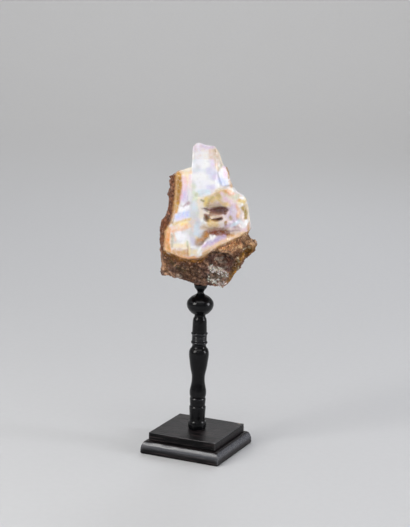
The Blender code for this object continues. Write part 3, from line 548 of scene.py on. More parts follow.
class Kind(Enum):
    """Kinds of node: Blender's name, the inputs filled in order, the output read and settings they share."""

    MATHS = "ShaderNodeMath", (0, 1, 2), 0, {}
    MIX = "ShaderNodeMix", (0, 6, 7), 2, {"data_type": "RGBA", "clamp_factor": True}
    RAMP = "ShaderNodeValToRGB", (0,), 0, {}
    NOISE = "ShaderNodeTexNoise", ("Vector", "Scale", "Detail", "Roughness", "Distortion"), "Fac", {}
    CELLS = "ShaderNodeTexVoronoi", ("Vector", "Scale", "Smoothness"), "Color", {}
    BEND = "ShaderNodeVectorMath", (0, 1, 2), 0, {"operation": "MULTIPLY_ADD"}
    CHANNELS = "ShaderNodeSeparateColor", (0,), 0, {}
    BRIGHTEN = "ShaderNodeHueSaturation", ("Color", "Value"), 0, {}
    ATTRIBUTE = "ShaderNodeAttribute", (), "Fac", {}
    COORDINATES = "ShaderNodeTexCoord", (), "Object", {}
    MAPPING = "ShaderNodeMapping", ("Vector", "Location", "Rotation", "Scale"), 0, {}
    BUMP = "ShaderNodeBump", ("Height", "Strength", "Distance"), 0, {}
    NAMED = "GeometryNodeInputNamedAttribute", ("Name",), 0, {"data_type": "FLOAT"}
    INDEX = "GeometryNodeInputIndex", (), 0, {}
    POSITION = "GeometryNodeInputPosition", (), 0, {}
    COUNT = "GeometryNodeAttributeDomainSize", ("Geometry",), "Point Count", {"component": "MESH"}
    SAMPLE = "GeometryNodeSampleIndex", ("Geometry", "Index", "Value"), 0, {"domain": "POINT"}
    SPOTS = "GeometryNodeDistributePointsOnFaces", ("Mesh", "Density", "Seed"), "Points", {}
    RANDOM = "FunctionNodeRandomValue", (0, 1, "Seed"), 0, {"data_type": "FLOAT_VECTOR"}
    RANDOM_SHARE = "FunctionNodeRandomValue", (2, 3, "Seed"), 1, {"data_type": "FLOAT"}
    BALL = "GeometryNodeMeshIcoSphere", ("Radius", "Subdivisions"), "Mesh", {}
    CONE = ("GeometryNodeMeshCone",
            ("Vertices", "Side Segments", "Radius Top", "Radius Bottom", "Depth"), "Mesh", {})
    GRID = "GeometryNodeMeshGrid", ("Vertices X", "Vertices Y"), "Mesh", {}
    LEAN = "FunctionNodeRotateRotation", (0, 1), 0, {"rotation_space": "LOCAL"}
    SWING = "ShaderNodeVectorRotate", ("Vector", "Angle"), 0, {"rotation_type": "Z_AXIS"}
    SHAPED = "GeometryNodeSetPosition", ("Geometry", "Position", "Offset"), 0, {}
    INSTANCES = "GeometryNodeInstanceOnPoints", ("Points", "Instance", "Rotation", "Scale"), 0, {}
    STORE = "GeometryNodeStoreNamedAttribute", ("Geometry", "Name", "Value"), 0, {"data_type": "FLOAT"}
    MERGE = "GeometryNodeMergeByDistance", ("Geometry", "Distance"), 0, {}
    REALIZE = "GeometryNodeRealizeInstances", ("Geometry",), 0, {}
    DRESS = "GeometryNodeSetMaterial", ("Geometry", "Material"), 0, {}


def connect(tree: Any, node: Any, values: dict[Any, Any]) -> None:
    """Feeds a node's inputs.

    Args:
        tree: The node's tree.
        node: The node.
        values: For each input, by name or number, another node's output, a constant, or None to leave it.
    """
    for key, value in values.items():
        if isinstance(value, bpy.types.NodeSocket):
            tree.links.new(value, node.inputs[key])
        elif value is not None:
            node.inputs[key].default_value = value


def add_node(tree: Any, kind: Kind, *values: Any, out: Any = None, stops: Sequence[tuple[float, Any]] = (),
             **settings: Any) -> Any:
    """Adds a node with its settings and links.

    Args:
        tree: The material's or the geometry's node tree.
        kind: What it is.
        *values: What feeds the kind's inputs, in their order, as in connect.
        out: Name or number of the output, where it isn't the one that the kind names.
        stops: For a ramp, (position, sRGB hex or grey level) from 0 to 1.
        **settings: Properties of the node.

    Returns:
        The output. Its node is at hand as its .node.
    """
    name, inputs, usual, shared = kind.value
    node = tree.nodes.new(name)
    for setting, value in {**shared, **settings}.items():
        setattr(node, setting, value)
    connect(tree, node, dict(zip(inputs, values)))
    for index, (position, shade) in enumerate(stops):
        elements = node.color_ramp.elements
        element = elements[index] if index < len(elements) else elements.new(1.0)
        element.position = position
        element.color = linear(shade) if isinstance(shade, str) else (shade, shade, shade, 1.0)
    return node.outputs[usual if out is None else out]


def add_object(name: str, mesh: Any, finish: Any = None) -> Any:
    """Adds an object at the origin.

    Args:
        name: The piece's name.
        mesh: Its mesh.
        finish: Its material, if it has one already.

    Returns:
        The object.
    """
    made = bpy.data.objects.new(name, mesh)
    bpy.context.scene.collection.objects.link(made)
    if finish is not None:
        mesh.materials.clear()
        mesh.materials.append(finish)
    return made


def mesh_from(shape: Any, name: str) -> Any:
    """Turns a bmesh into a mesh whose faces point outwards, and frees it.

    Args:
        shape: The bmesh.
        name: The mesh's name.

    Returns:
        The mesh.
    """
    bmesh.ops.recalc_face_normals(shape, faces=shape.faces)
    mesh = bpy.data.meshes.new(name)
    shape.to_mesh(mesh)
    shape.free()
    return mesh


def evaluated(thing: Any) -> Any:
    """The mesh of an object with its modifiers applied."""
    graph = bpy.context.evaluated_depsgraph_get()
    return bpy.data.meshes.new_from_object(thing.evaluated_get(graph), depsgraph=graph)


def discard(*things: Any) -> None:
    """Removes objects."""
    for thing in things:
        bpy.data.objects.remove(thing)


def hand_over(piece: Any, node: str | None = None) -> None:
    """Gives a finished piece its body, and hides the CAD node that it stands for.

    Args:
        piece: The object.
        node: The CAD node that it replaces, if any.
    """
    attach(piece, ROOT)
    if node is not None:
        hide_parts(node)
    piece.data.calc_loop_triangles()
    size = ", ".join(f"{side / MM:.1f}" for side in piece.dimensions)
    LOG.info("%s: %d triangles, %s mm", piece.name, len(piece.data.loop_triangles), size)


def smoothstep(low: float, high: float, values: Any) -> Any:
    """0 below low, 1 above high and a smooth rise between, for numbers or arrays."""
    share = np.clip((values - low) / (high - low), 0.0, 1.0)
    return share * share * (3.0 - 2.0 * share)


def store(mesh: Any, name: str, values: Any) -> None:
    """Keeps one number or one colour per point as an attribute of the mesh.

    Args:
        mesh: The mesh.
        name: The attribute's name.
        values: An array of numbers, or of linear colours with alpha.
    """
    colour = values.ndim == 2
    kept = mesh.attributes.new(name, "FLOAT_COLOR" if colour else "FLOAT", "POINT")
    kept.data.foreach_set("color" if colour else "value", values.astype(np.float32).ravel())


@dataclass
class NodeGeometry:
    """A Geometry Nodes tree that is run once over an object and then dropped."""

    name: str

    def __post_init__(self) -> None:
        """Makes the empty tree with its geometry in and out."""
        self.tree = bpy.data.node_groups.new(self.name, "GeometryNodeTree")
        for way in ("INPUT", "OUTPUT"):
            self.tree.interface.new_socket("Geometry", in_out=way, socket_type="NodeSocketGeometry")
        self.values: dict[str, Any] = {}
        self.start = self.tree.nodes.new("NodeGroupInput")
        self.end = self.tree.nodes.new("NodeGroupOutput")

    @property
    def source(self) -> Any:
        """The geometry that the tree starts from."""
        return self.start.outputs["Geometry"]

    def given(self, name: str, value: Any) -> Any:
        """Adds a named input.

        Args:
            name: What it is.
            value: Its value for this run: an int, a float or a material.

        Returns:
            The input's socket inside the tree.
        """
        kinds = {int: "NodeSocketInt", float: "NodeSocketFloat"}
        kind = kinds.get(type(value), "NodeSocketMaterial")
        socket = self.tree.interface.new_socket(name, in_out="INPUT", socket_type=kind)
        self.values[socket.identifier] = value
        return self.start.outputs[name]

    def node(self, kind: Kind, *values: Any, out: Any = None, **settings: Any) -> Any:
        """Adds a node to the tree and returns its output, as add_node does."""
        return add_node(self.tree, kind, *values, out=out, **settings)

    def finish(self, geometry: Any, material: Any) -> None:
        """Ends the tree in Realize Instances and Set Material.

        Args:
            geometry: The output that holds what the tree made.
            material: Its material.
        """
        real = self.node(Kind.REALIZE, geometry)
        dressed = self.node(Kind.DRESS, real, self.given("Material", material))
        self.tree.links.new(dressed, self.end.inputs[0])

    def run(self, thing: Any) -> Any:
        """Runs the tree over an object.

        Args:
            thing: The object it starts from, which is left as it was.

        Returns:
            The mesh it makes.
        """
        step = thing.modifiers.new(self.name, "NODES")
        step.node_group = self.tree
        for identifier, value in self.values.items():
            step[identifier] = value
        mesh = evaluated(thing)
        thing.modifiers.remove(step)
        return mesh


# ---------------------------------------------------------------- finishes


@dataclass(frozen=True)
class Finish:
    """A material of one Principled shader. Each kind of finish says what feeds the shader."""

    name: str

    def feeds(self, tree: Any) -> dict[str, Any]:
        """Adds the pattern's nodes.

        Args:
            tree: The material's node tree.

        Returns:
            What goes into the shader's inputs, by their names.
        """
        raise NotImplementedError

    def material(self) -> Any:
        """Builds the material."""
        made = bpy.data.materials.new(self.name)
        made.use_nodes = True
        tree = made.node_tree
        connect(tree, tree.nodes["Principled BSDF"], self.feeds(tree))
        return made


@dataclass(frozen=True)
class StoneFinish(Finish):
    """A finish whose patterns lie in the stone's own frame."""

    turn: float
    seat_height: float  # mm

    def place(self, tree: Any) -> Any:
        """Adds the coordinates.

        Args:
            tree: The material's node tree.

        Returns:
            The output that holds (u, v, w) in mm.
        """
        coordinates = add_node(tree, Kind.COORDINATES)
        low = add_node(tree, Kind.MAPPING, coordinates, (0, 0, -self.seat_height), None, (1 / MM,) * 3)
        return add_node(tree, Kind.MAPPING, low, None, (0, 0, -self.turn))


@dataclass(frozen=True)
class MilkyOpal(StoneFinish):
    """Precious opal, broken and never polished, growing in a ferruginous sandstone.

    To the eye: milky and lit from within, pastel bands and patches, a glassy skin with shallow shell-like
    ripples, and where it meets the rock a dull brown mass of grains that each catch the light on their own.
    """

    patch: float = 2.6  # mm across one patch of colour play
    patch_wander: float = 4.0  # mm by which the patches are pulled out of shape
    play: float = 0.10  # how much the patches show
    mottle: float = 0.30  # how much the fine mottling under them shows
    cloud: float = 0.4  # how much the clouds show
    thread: float = 2.8  # mm from healed crack to healed crack
    thread_wander: float = 3.0
    ripple: float = 3.4  # mm from ripple to ripple
    ripple_height: float = 0.22
    pit_height: float = 0.05
    relief_depth: float = 0.9  # mm for a height of 1
    smoothest: float = 0.09  # roughness of the opal without pits
    pit_roughness: float = 0.26
    glow: float = 0.15  # share of light scattered inside the opal
    glow_depth: float = 1.6  # mm
    lump: float = 2.3  # mm across a lump of the rock
    grain: float = 1.15  # mm across a grain of it
    fine_grain: float = 0.62
    grain_wander: float = 0.9
    grain_height: float = 0.8
    fine_grain_height: float = 0.35

    def feeds(self, tree: Any) -> dict[str, Any]:
        """Opal and rock, mixed by the share of each that the surface holds."""
        add = partial(add_node, tree)
        place = self.place(tree)
        tint = add(Kind.ATTRIBUTE, out="Color", attribute_name="tint")
        rock = add(Kind.ATTRIBUTE, attribute_name="rock")
        flesh = add(Kind.MIX, self.play, tint, self.colour_play(tree, place), blend_type="SOFT_LIGHT")
        fine = add(Kind.NOISE, place, 1.1, 4.0, 0.7, out="Color")
        flesh = add(Kind.MIX, self.mottle, flesh, fine, blend_type="SOFT_LIGHT")
        cloud = add(Kind.NOISE, place, 0.9, 5.0, 0.6)
        cloud = add(Kind.RAMP, cloud, stops=[(0.3, 0.40), (0.5, 0.49), (0.72, 0.58)])
        flesh = add(Kind.MIX, self.cloud, flesh, cloud, blend_type="OVERLAY")
        flesh = self.threads(tree, place, flesh)
        body, height, gloss = self.rock(tree, place, tint)
        skin = add(Kind.NOISE, place, 1 / self.ripple, 3.0, 0.55, 0.8)
        pits = add(Kind.NOISE, place, 1.6, 4.0, 0.7)
        smooth = add(Kind.MATHS, pits, self.pit_roughness, self.smoothest, operation="MULTIPLY_ADD")
        opal = add(Kind.MATHS, 1.0, rock, operation="SUBTRACT")
        swell = add(Kind.MATHS, add(Kind.MATHS, skin, self.ripple_height, operation="MULTIPLY"),
                    add(Kind.MATHS, pits, self.pit_height, operation="MULTIPLY"), operation="ADD")
        relief = add(Kind.MIX, rock, swell, height)
        return {
            "Base Color": add(Kind.MIX, rock, flesh, body),
            "Roughness": add(Kind.MIX, rock, smooth, gloss),
            "Subsurface Weight": add(Kind.MATHS, opal, self.glow, operation="MULTIPLY"),
            "Subsurface Radius": (1.0, 0.85, 0.75), "Subsurface Scale": self.glow_depth * MM, "IOR": 1.45,
            "Normal": add(Kind.BUMP, relief, 0.8, self.relief_depth * MM),
        }

    def colour_play(self, tree: Any, place: Any) -> Any:
        """Patches of pastel, each a few mm across, as the silica spheres change their packing.

        Args:
            tree: The node tree.
            place: Coordinates in mm.

        Returns:
            Their colour.
        """
        warp = add_node(tree, Kind.NOISE, place, 0.35, 2.0, out="Color")
        moved = add_node(tree, Kind.BEND, warp, (self.patch_wander,) * 3, place)
        return add_node(tree, Kind.CELLS, moved, 1 / self.patch, 0.35, feature="SMOOTH_F1")

    def threads(self, tree: Any, place: Any, flesh: Any) -> Any:
        """Hair-fine healed cracks, whiter than the opal, and scattered pin-sized specks of iron.

        Args:
            tree: The node tree.
            place: Coordinates in mm.
            flesh: The opal's colour without them.

        Returns:
            The opal's colour with them.
        """
        add = partial(add_node, tree)
        bend = add(Kind.NOISE, place, 0.5, 3.0, out="Color")
        moved = add(Kind.BEND, bend, (self.thread_wander,) * 3, place)
        cracks = add(Kind.CELLS, moved, 1 / self.thread, feature="DISTANCE_TO_EDGE", out="Distance")
        healed = add(Kind.RAMP, cracks, stops=[(0.0, 0.26), (0.02, 0.12), (0.05, 0.0)])
        flesh = add(Kind.MIX, healed, flesh, (0.95, 0.95, 1.0, 1.0))
        dots = add(Kind.CELLS, moved, 1 / self.fine_grain)
        near = add(Kind.RAMP, dots.node.outputs["Distance"], stops=[(0.15, 1.0), (0.4, 0.0)])
        some = add(Kind.RAMP, add(Kind.CHANNELS, dots), stops=[(0.90, 0.0), (0.96, 0.5)])
        return add(Kind.MIX, add(Kind.MATHS, near, some, operation="MULTIPLY"), flesh, linear("#a98a5c"))

    def rock(self, tree: Any, place: Any, tint: Any) -> tuple[Any, Any, Any]:
        """The sandstone: lumps, grains and fine grains of quartz and ironstone in a brown cement, with
        painted shade between the grains.

        Args:
            tree: The node tree.
            place: Coordinates in mm.
            tint: The rock's own colour at that place.

        Returns:
            Outputs for its colour, height and roughness.
        """
        add = partial(add_node, tree)
        warp = add(Kind.NOISE, place, 1.1, 3.0, out="Color")
        moved = add(Kind.BEND, warp, (self.grain_wander,) * 3, place)
        sizes = self.lump, self.grain, self.fine_grain
        lumps, coarse, fine = (add(Kind.CELLS, moved, 1 / size) for size in sizes)
        kinds = add(Kind.CHANNELS, coarse)
        colour = tint
        for share, kind, stops in (
                (0.5, add(Kind.CHANNELS, lumps), [(0.0, 0.34), (0.5, 0.5), (0.8, 0.58), (1.0, 0.78)]),
                (0.6, kinds, [(0.0, 0.30), (0.25, 0.42), (0.6, 0.53), (0.85, 0.68), (0.97, 0.92)]),
                (0.45, add(Kind.CHANNELS, fine, out=1),
                 [(0.0, 0.38), (0.5, 0.5), (0.88, 0.60), (1.0, 0.88)])):
            colour = add(Kind.MIX, share, colour, add(Kind.RAMP, kind, stops=stops), blend_type="OVERLAY")
        colour = add(Kind.BRIGHTEN, colour, 1.08)
        heights = [cells.node.outputs["Distance"] for cells in (coarse, fine)]
        # painted shade: darker where the cells' distance is large, in the low ground between grains where the
        # bump sinks
        gap_shade = add(Kind.RAMP, heights[0], stops=[(0.4, 1.0), (0.8, 0.6)])
        colour = add(Kind.MIX, 0.8, colour, gap_shade, blend_type="MULTIPLY")
        height = add(Kind.MATHS, heights[0], -self.grain_height, operation="MULTIPLY")
        height = add(Kind.MATHS, heights[1], -self.fine_grain_height, height, operation="MULTIPLY_ADD")
        gloss = add(Kind.RAMP, kinds.node.outputs[2], stops=[(0.0, 0.85), (0.7, 0.6), (0.9, 0.3)])
        return colour, height, gloss


@dataclass(frozen=True)
class SandGrains(StoneFinish):
    """Loose angular sand grains on the broken rock: quartz, ironstone and pinkish feldspar.

    To the eye: a peppering of light and dark points, some glassy.
    """

    kinds: tuple[tuple[float, str], ...] = (  # from ironstone to quartz
        (0.0, "#3c281f"), (0.3, "#6a4a38"), (0.55, "#8a6450"), (0.75, "#a98471"), (0.9, "#cdb2a0"),
        (0.98, "#efe3da"))
    own_colour: float = 0.28  # how far a grain's own colour shows over the rock's

    def feeds(self, tree: Any) -> dict[str, Any]:
        """Each grain's own kind, over the tint of the rock that it lies on."""
        add = partial(add_node, tree)
        tint = add(Kind.ATTRIBUTE, out="Color", attribute_name="tint")
        shade = add(Kind.ATTRIBUTE, attribute_name="shade")
        colour = add(Kind.MIX, self.own_colour, tint, add(Kind.RAMP, shade, stops=self.kinds))
        speckle = add(Kind.NOISE, self.place(tree), 3.0, 2.0)
        speckle = add(Kind.RAMP, speckle, stops=[(0.3, 0.35), (0.7, 0.65)])
        return {
            "Base Color": add(Kind.MIX, 0.5, colour, speckle, blend_type="OVERLAY"),
            "Roughness": add(Kind.RAMP, shade, stops=[(0.0, 0.8), (0.7, 0.5), (1.0, 0.22)]),
        }


@dataclass(frozen=True)
class ClearQuartz(StoneFinish):
    """Small quartz points grown in a hollow of the rock.

    To the eye: white to clear, with bright flat faces, and some points browned by iron.
    """

    def feeds(self, tree: Any) -> dict[str, Any]:
        """Milky to clear along each point, some points stained."""
        add = partial(add_node, tree)
        haze = add(Kind.NOISE, self.place(tree), 1.3, 3.0)
        clear = add(Kind.RAMP, haze, stops=[(0.3, "#c4b3a8"), (0.45, "#eee6e0"), (0.6, "#ffffff")])
        kind = add(Kind.ATTRIBUTE, attribute_name="shade")
        stain = add(Kind.RAMP, kind, stops=[(0.0, "#75594a"), (0.3, "#b39c8c"), (0.55, "#e9e0d8"),
                                            (0.8, "#ffffff")])
        return {
            "Base Color": add(Kind.MIX, 0.9, clear, stain, blend_type="MULTIPLY"),
            "Roughness": add(Kind.RAMP, haze, stops=[(0.3, 0.3), (0.7, 0.1)]),
            "Subsurface Weight": 0.3, "Subsurface Scale": 0.8 * MM, "IOR": 1.54,
        }


@dataclass(frozen=True)
class EbonisedWood(Finish):
    """Beech stained black right through and waxed.

    To the eye: nearly black, long fibres along the grain, open pores that stay dull while the ridges between
    them take a satin shine, worn edges with a grey gleam that is partly a painted highlight of the softboxes
    on the beads and the moulding, and bare ochre wood where a corner is worn through.
    """

    along: tuple[float, float, float]  # the grain's direction, as an axis of the piece
    polish: float  # roughness of the wax
    pore_depth: float  # mm
    fibres: str  # colour of the palest fibres
    shine: float  # strength of the wax's reflection away from the rubbed edges
    fibre_width: float = 0.75  # mm
    fibre_length: float = 20.0
    cloud: float = 12.0  # mm across a duller patch of the wax
    streak_swing: float = 0.34  # how far roughness changes from fibre to fibre
    cloud_swing: float = 0.16  # and from patch to patch
    # painted highlight: the grey for worn edges also stands for the softboxes' reflection on the beads and
    # the moulding
    rubbed_sheen: str = "#7c7f88"
    rubbed_sheen_share: float = 0.34
    rubbed_sheen_power: float = 2.5  # keeps the paler grey, worn and painted highlight at once, to the most worn places
    rubbed_polish: float = 0.10  # roughness that rubbing takes off
    rubbed_shine: float = 0.38  # reflection that it adds
    bare: str = "#8a6a34"

    def feeds(self, tree: Any) -> dict[str, Any]:
        """Black fibres; where the wear attribute rises to 1, a paler grey that is partly worn wood and partly
        a painted highlight, and more gloss; bare wood at 2.
        """
        add = partial(add_node, tree)
        coordinates = add(Kind.COORDINATES)
        across, lengthways = 1 / (self.fibre_width * MM), 1 / (self.fibre_length * MM)
        stretch = tuple(across + (lengthways - across) * part for part in self.along)
        streak = add(Kind.NOISE, add(Kind.MAPPING, coordinates, None, None, stretch), 0.8, 6.0, 0.65)
        broad = add(Kind.NOISE, coordinates, 1 / (self.cloud * MM), 3.0)
        wear = add(Kind.ATTRIBUTE, attribute_name="wear")
        black = add(Kind.RAMP, streak, stops=[(0.35, "#030304"), (0.5, "#08080a"), (0.63, self.fibres)])
        # the paler grey is partly worn wood and partly a painted highlight of the softboxes
        through = add(Kind.MATHS, wear, self.rubbed_sheen_power, operation="POWER")
        through = add(Kind.MATHS, through, self.rubbed_sheen_share, operation="MULTIPLY")
        colour = add(Kind.MIX, through, black, linear(self.rubbed_sheen))
        worn_off = add(Kind.MATHS, wear, 1.0, operation="SUBTRACT")
        least = self.polish - self.streak_swing / 2
        dull = add(Kind.MATHS, streak, self.streak_swing, least, operation="MULTIPLY_ADD")
        dull = add(Kind.MATHS, dull, self.cloud_swing / 2, operation="SUBTRACT")
        dull = add(Kind.MATHS, broad, self.cloud_swing, dull, operation="MULTIPLY_ADD")
        gleam = add(Kind.MATHS, wear, self.rubbed_shine, self.shine, operation="MULTIPLY_ADD")
        return {
            "Base Color": add(Kind.MIX, worn_off, colour, linear(self.bare)),
            "Roughness": add(Kind.MATHS, wear, -self.rubbed_polish, dull, operation="MULTIPLY_ADD"),
            "Specular IOR Level": gleam,
            "IOR": 1.5,
            "Normal": add(Kind.BUMP, streak, 0.6, self.pore_depth * MM),
        }


@dataclass(frozen=True)
class PaperSweep(Finish):
    """Pale matt background paper. To the eye: even and quiet, with no grain at this distance."""

    colour: str = "#cfd0d2"
    fibre: float = 0.06  # how much the fibres show

    def feeds(self, tree: Any) -> dict[str, Any]:
        """One pale colour with the faintest of fibres."""
        fibre = add_node(tree, Kind.NOISE, add_node(tree, Kind.COORDINATES), 220.0, 3.0)
        fibre = add_node(tree, Kind.RAMP, fibre, stops=[(0.35, 0.4), (0.65, 0.6)])
        colour = add_node(tree, Kind.MIX, self.fibre, linear(self.colour), fibre, blend_type="OVERLAY")
        return {"Base Color": colour, "Roughness": 0.85}


# ---------------------------------------------------------------- the stone


@dataclass
class Specimen:
    """The opal in its host rock, with loose sand grains and quartz points on the rock. Sizes in mm."""

    seat_height: float
    turn: float = math.radians(24.25)  # the stone's front is turned this far from the base's front edge
    voxel: float = 0.445
    softening: int = 2  # smoothing passes over the opal's edges
    border: float = 1.7  # width over which opal turns into rock
    ragged: float = 0.9  # how ragged that border is
    ragged_size: float = 1.6
    rock_setback: float = 0.5  # the rock has weathered back from the opal by this much
    seat_radius: float = 5.0
    back_skin: float = 3.0  # host rock lies behind this v
    skin_thins_above: float = 72.0  # where the rock behind begins to lie further back
    skin_slope: float = 0.25
    spire_bare: float = 84.0  # the spire has no rock above this height
    smooth_right: tuple[float, float] = (-7.0, 1.0)  # over these u the flakes come in
    smooth_top: tuple[float, float] = (58.0, 64.0)  # and over these w they go again
    smoothness: float = 0.75
    bend: tuple[float, float] = (6.0, 1.8)  # the flakes are bent: over this size, by this much
    flake_mean: float = 0.28  # means of the patterns, taken off so that they push in as much as out
    chunk_mean: float = 0.35
    pebble_mean: float = 0.5
    grain_mean: float = 0.45
    flat_shaded_from: float = 0.6  # share of rock from which facets show
    drift: tuple[tuple[float, float], ...] = ((3.6, 0.6), (1.3, 0.35))  # how bands wander: size, distance
    most_drift: float = 1.5  # soft bands wander farther than sharp ones, up to this many times
    region_size: float = 9.0  # over which the rock's browns change
    mottle_size: float = 4.0  # and the opal's whites
    patch_size: float = 1.9  # over which wide bands and the border's stain break up
    broken_bands: float = 0.45  # how patchy bands are that fade over more than this:
    wide_fade: float = 0.6
    opal_marks_stop: float = 0.8  # how far the opal's bands give way to the rock
    hollow_shade: float = 0.42  # painted shade: how dark the rock's hollows are made
    high_point_light: float = 0.3  # painted light: how pale its high points are made
    rust: float = 0.85  # strength of the stain along the border
    iron: float = 0.3  # how much iron deepens the rock's browns
    iron_takes: tuple[float, float, float] = (0.05, 0.0, 0.14)  # red, green and blue that iron takes away
    grain_seed: int = 11
    grains_from: float = 0.85  # share of rock from which sand grains lie on it
    grain_density: float = 620000.0  # sand grains to a square metre of rock
    grain_radius: float = 0.36
    grain_dent: float = 0.11
    grain_scales: tuple[Corner, Corner] = ((0.6, 0.6, 0.5), (1.6, 1.4, 1.2))  # least and greatest
    quartz_seed: int = 5
    quartz_density: float = 1300000.0
    quartz_length: float = 1.1
    quartz_radii: tuple[float, float] = (0.14, 0.42)  # at the tip and at the foot
    quartz_scales: tuple[Corner, Corner] = ((0.3, 0.3, 0.3), (2.0, 2.0, 1.9))
    quartz_tilt: float = 1.25  # how far a point may lean from the surface's normal, in radians
    quartz_reach: float = 1.3
    quartz_fade: float = 0.6

    def build(self) -> list[Any]:
        """Builds and dresses the three pieces, and hands them over."""
        finish = MilkyOpal("milky_opal_in_sandstone", self.turn, self.seat_height)
        stone = add_object("opal_specimen_stone", self.skin(), finish.material())
        grains = self.grains(stone)
        quartz = self.quartz(stone)
        hand_over(stone, "opal_specimen")
        hand_over(grains)
        hand_over(quartz)
        return [stone, grains, quartz]

    # ---- solid

    def hull(self, name: str, corners: Iterable[Corner]) -> Any:
        """A convex lump.

        Args:
            name: Its name.
            corners: Its corners (u, v, w).

        Returns:
            The object.
        """
        shape = bmesh.new()
        for corner in corners:
            shape.verts.new(Vector(corner) * MM)
        found = bmesh.ops.convex_hull(shape, input=shape.verts)
        inside = [part for part in found["geom_interior"] if isinstance(part, bmesh.types.BMVert)]
        bmesh.ops.delete(shape, geom=inside, context="VERTS")
        return add_object(name, mesh_from(shape, name))

    def ellipsoid(self, name: str, centre: Corner, half_sizes: Corner, turns: Corner) -> Any:
        """An ellipsoid.

        Args:
            name: Its name.
            centre: Its centre (u, v, w).
            half_sizes: Half its sizes along u, v and w.
            turns: Degrees by which it is then turned about u, v and w.

        Returns:
            The object.
        """
        shape = bmesh.new()
        bmesh.ops.create_icosphere(shape, subdivisions=4, radius=1.0)
        tilt = Euler([math.radians(turn) for turn in turns]).to_matrix().to_4x4()
        stretch = Matrix.Diagonal((*[half * MM for half in half_sizes], 1.0))
        place = Matrix.Translation(Vector(centre) * MM)
        bmesh.ops.transform(shape, matrix=place @ tilt @ stretch, verts=shape.verts)
        return add_object(name, mesh_from(shape, name))

    def seen_outline(self) -> Any:
        """A block whose outline is OUTLINE when seen from EYE, so it widens towards the back."""
        eye = Vector(EYE)
        shape = bmesh.new()
        ends = []
        for depth in (-OUTLINE_REACH, OUTLINE_REACH):
            stretch = 1 - depth / EYE[1]
            points = [eye + (Vector((u, 0, w)) - eye) * stretch for u, w in OUTLINE]
            ends.append([shape.verts.new(point * MM) for point in points])
        near, far = ends
        shape.faces.new(near)
        shape.faces.new(far)
        for index in range(len(OUTLINE)):
            shape.faces.new((near[index], near[index - 1], far[index - 1], far[index]))
        return add_object("seen outline", mesh_from(shape, "seen outline"))

    def crease(self) -> Any:
        """A round bar through the stations of the crease."""
        curve = bpy.data.curves.new("crease", "CURVE")
        curve.dimensions = "3D"
        curve.bevel_depth = MM
        curve.bevel_resolution = 3
        curve.use_fill_caps = True
        line = curve.splines.new("POLY")
        line.points.add(len(CREASE) - 1)
        for point, (u, v, w, radius) in zip(line.points, CREASE):
            point.co = (u * MM, v * MM, w * MM, 1)
            point.radius = radius
        path = bpy.data.objects.new("crease", curve)
        bpy.context.scene.collection.objects.link(path)
        shape = bmesh.new()
        shape.from_mesh(evaluated(path))
        discard(path)
        bmesh.ops.remove_doubles(shape, verts=shape.verts, dist=0.001 * MM)
        return add_object("crease", mesh_from(shape, "crease"))

    def block(self) -> Any:
        """The broken stone with an even, fine skin, in its own frame."""
        first, *others = LUMPS
        block = self.hull("block", LUMPS[first])
        added = [self.hull(name, LUMPS[name]) for name in others]
        added += [self.ellipsoid(name, *sizes) for name, sizes in SWELLS.items()]
        taken = [self.ellipsoid(name, *sizes) for name, sizes in SCOOPS.items()]
        taken += [self.hull(name, corners) for name, corners in CHIPS.items()]
        taken.append(self.crease())
        tools = [(tool, "UNION") for tool in added]
        tools += [(self.seen_outline(), "INTERSECT")]
        tools += [(tool, "DIFFERENCE") for tool in taken]
        for tool, operation in tools:
            step = block.modifiers.new(tool.name, "BOOLEAN")
            step.operation = operation
            step.object = tool
            step.solver = "EXACT"
        skin = block.modifiers.new("even skin", "REMESH")
        skin.mode = "VOXEL"
        skin.voxel_size = self.voxel * MM
        mesh = evaluated(block)
        discard(block, *[tool for tool, _ in tools])
        return mesh

    # ---- surface

    def beyond_opal(self, points: Any) -> Any:
        """How far points lie past the edge of the opal.

        Args:
            points: Array of (u, v, w) in mm.

        Returns:
            A distance for each, in mm, which is less than 0 on the opal.
        """
        u, v, w = points.T
        below = np.interp(u, *zip(*ROCK_EDGE)) - w
        outside = np.interp(w, *zip(*RIM_EDGE)) - u
        behind = v - self.back_skin - np.maximum(0.0, w - self.skin_thins_above) * self.skin_slope
        behind = np.where(w > self.spire_bare, -self.border, behind)
        return np.maximum(np.maximum(below, outside), behind)

    def rockiness(self, points: Any) -> Any:
        """1 in the host rock, 0 in the opal."""
        return np.clip(self.beyond_opal(points) / self.border + 0.4, 0.0, 1.0)

    def skin(self) -> Any:
        """The stone's finished mesh: broken surface, tints and rock share, in the row frame."""
        mesh = self.block()
        rock = self.rockiness(self.read(mesh))
        shape = bmesh.new()
        shape.from_mesh(mesh)
        shape.verts.ensure_lookup_table()
        opal = [shape.verts[index] for index in np.flatnonzero(rock < 0.5)]
        for _ in range(self.softening):
            bmesh.ops.smooth_vert(shape, verts=opal, factor=0.5, use_axis_x=True, use_axis_y=True,
                                  use_axis_z=True)
        shape.to_mesh(mesh)
        shape.free()
        points = self.read(mesh)
        rock = self.rockiness(points)
        height = self.relief(points, rock)
        points = points + self.read(mesh, "normal", 1.0) * height[:, None]
        flat = (np.hypot(points[:, 0], points[:, 1]) < self.seat_radius) & (points[:, 2] < 1.0)
        points[flat, 2] = np.maximum(points[flat, 2], 0.0)
        ragged = self.noises(points, self.ragged_size)
        rock = np.clip(rock + ragged * self.ragged * (rock > 0.02) * (rock < 0.98), 0.0, 1.0)
        self.write(mesh, points)
        store(mesh, "rock", rock)
        store(mesh, "tint", self.tints(points, rock, height))
        store(mesh, "quartz", self.nearness(points, QUARTZ_PATCHES, self.quartz_reach, self.quartz_fade))
        faces = np.empty(len(mesh.polygons), dtype=np.int32)
        mesh.polygons.foreach_get("loop_start", faces)
        corners = np.empty(len(mesh.loops), dtype=np.int32)
        mesh.loops.foreach_get("vertex_index", corners)
        mesh.polygons.foreach_set("use_smooth", rock[corners[faces]] < self.flat_shaded_from)
        mesh.update()
        return mesh

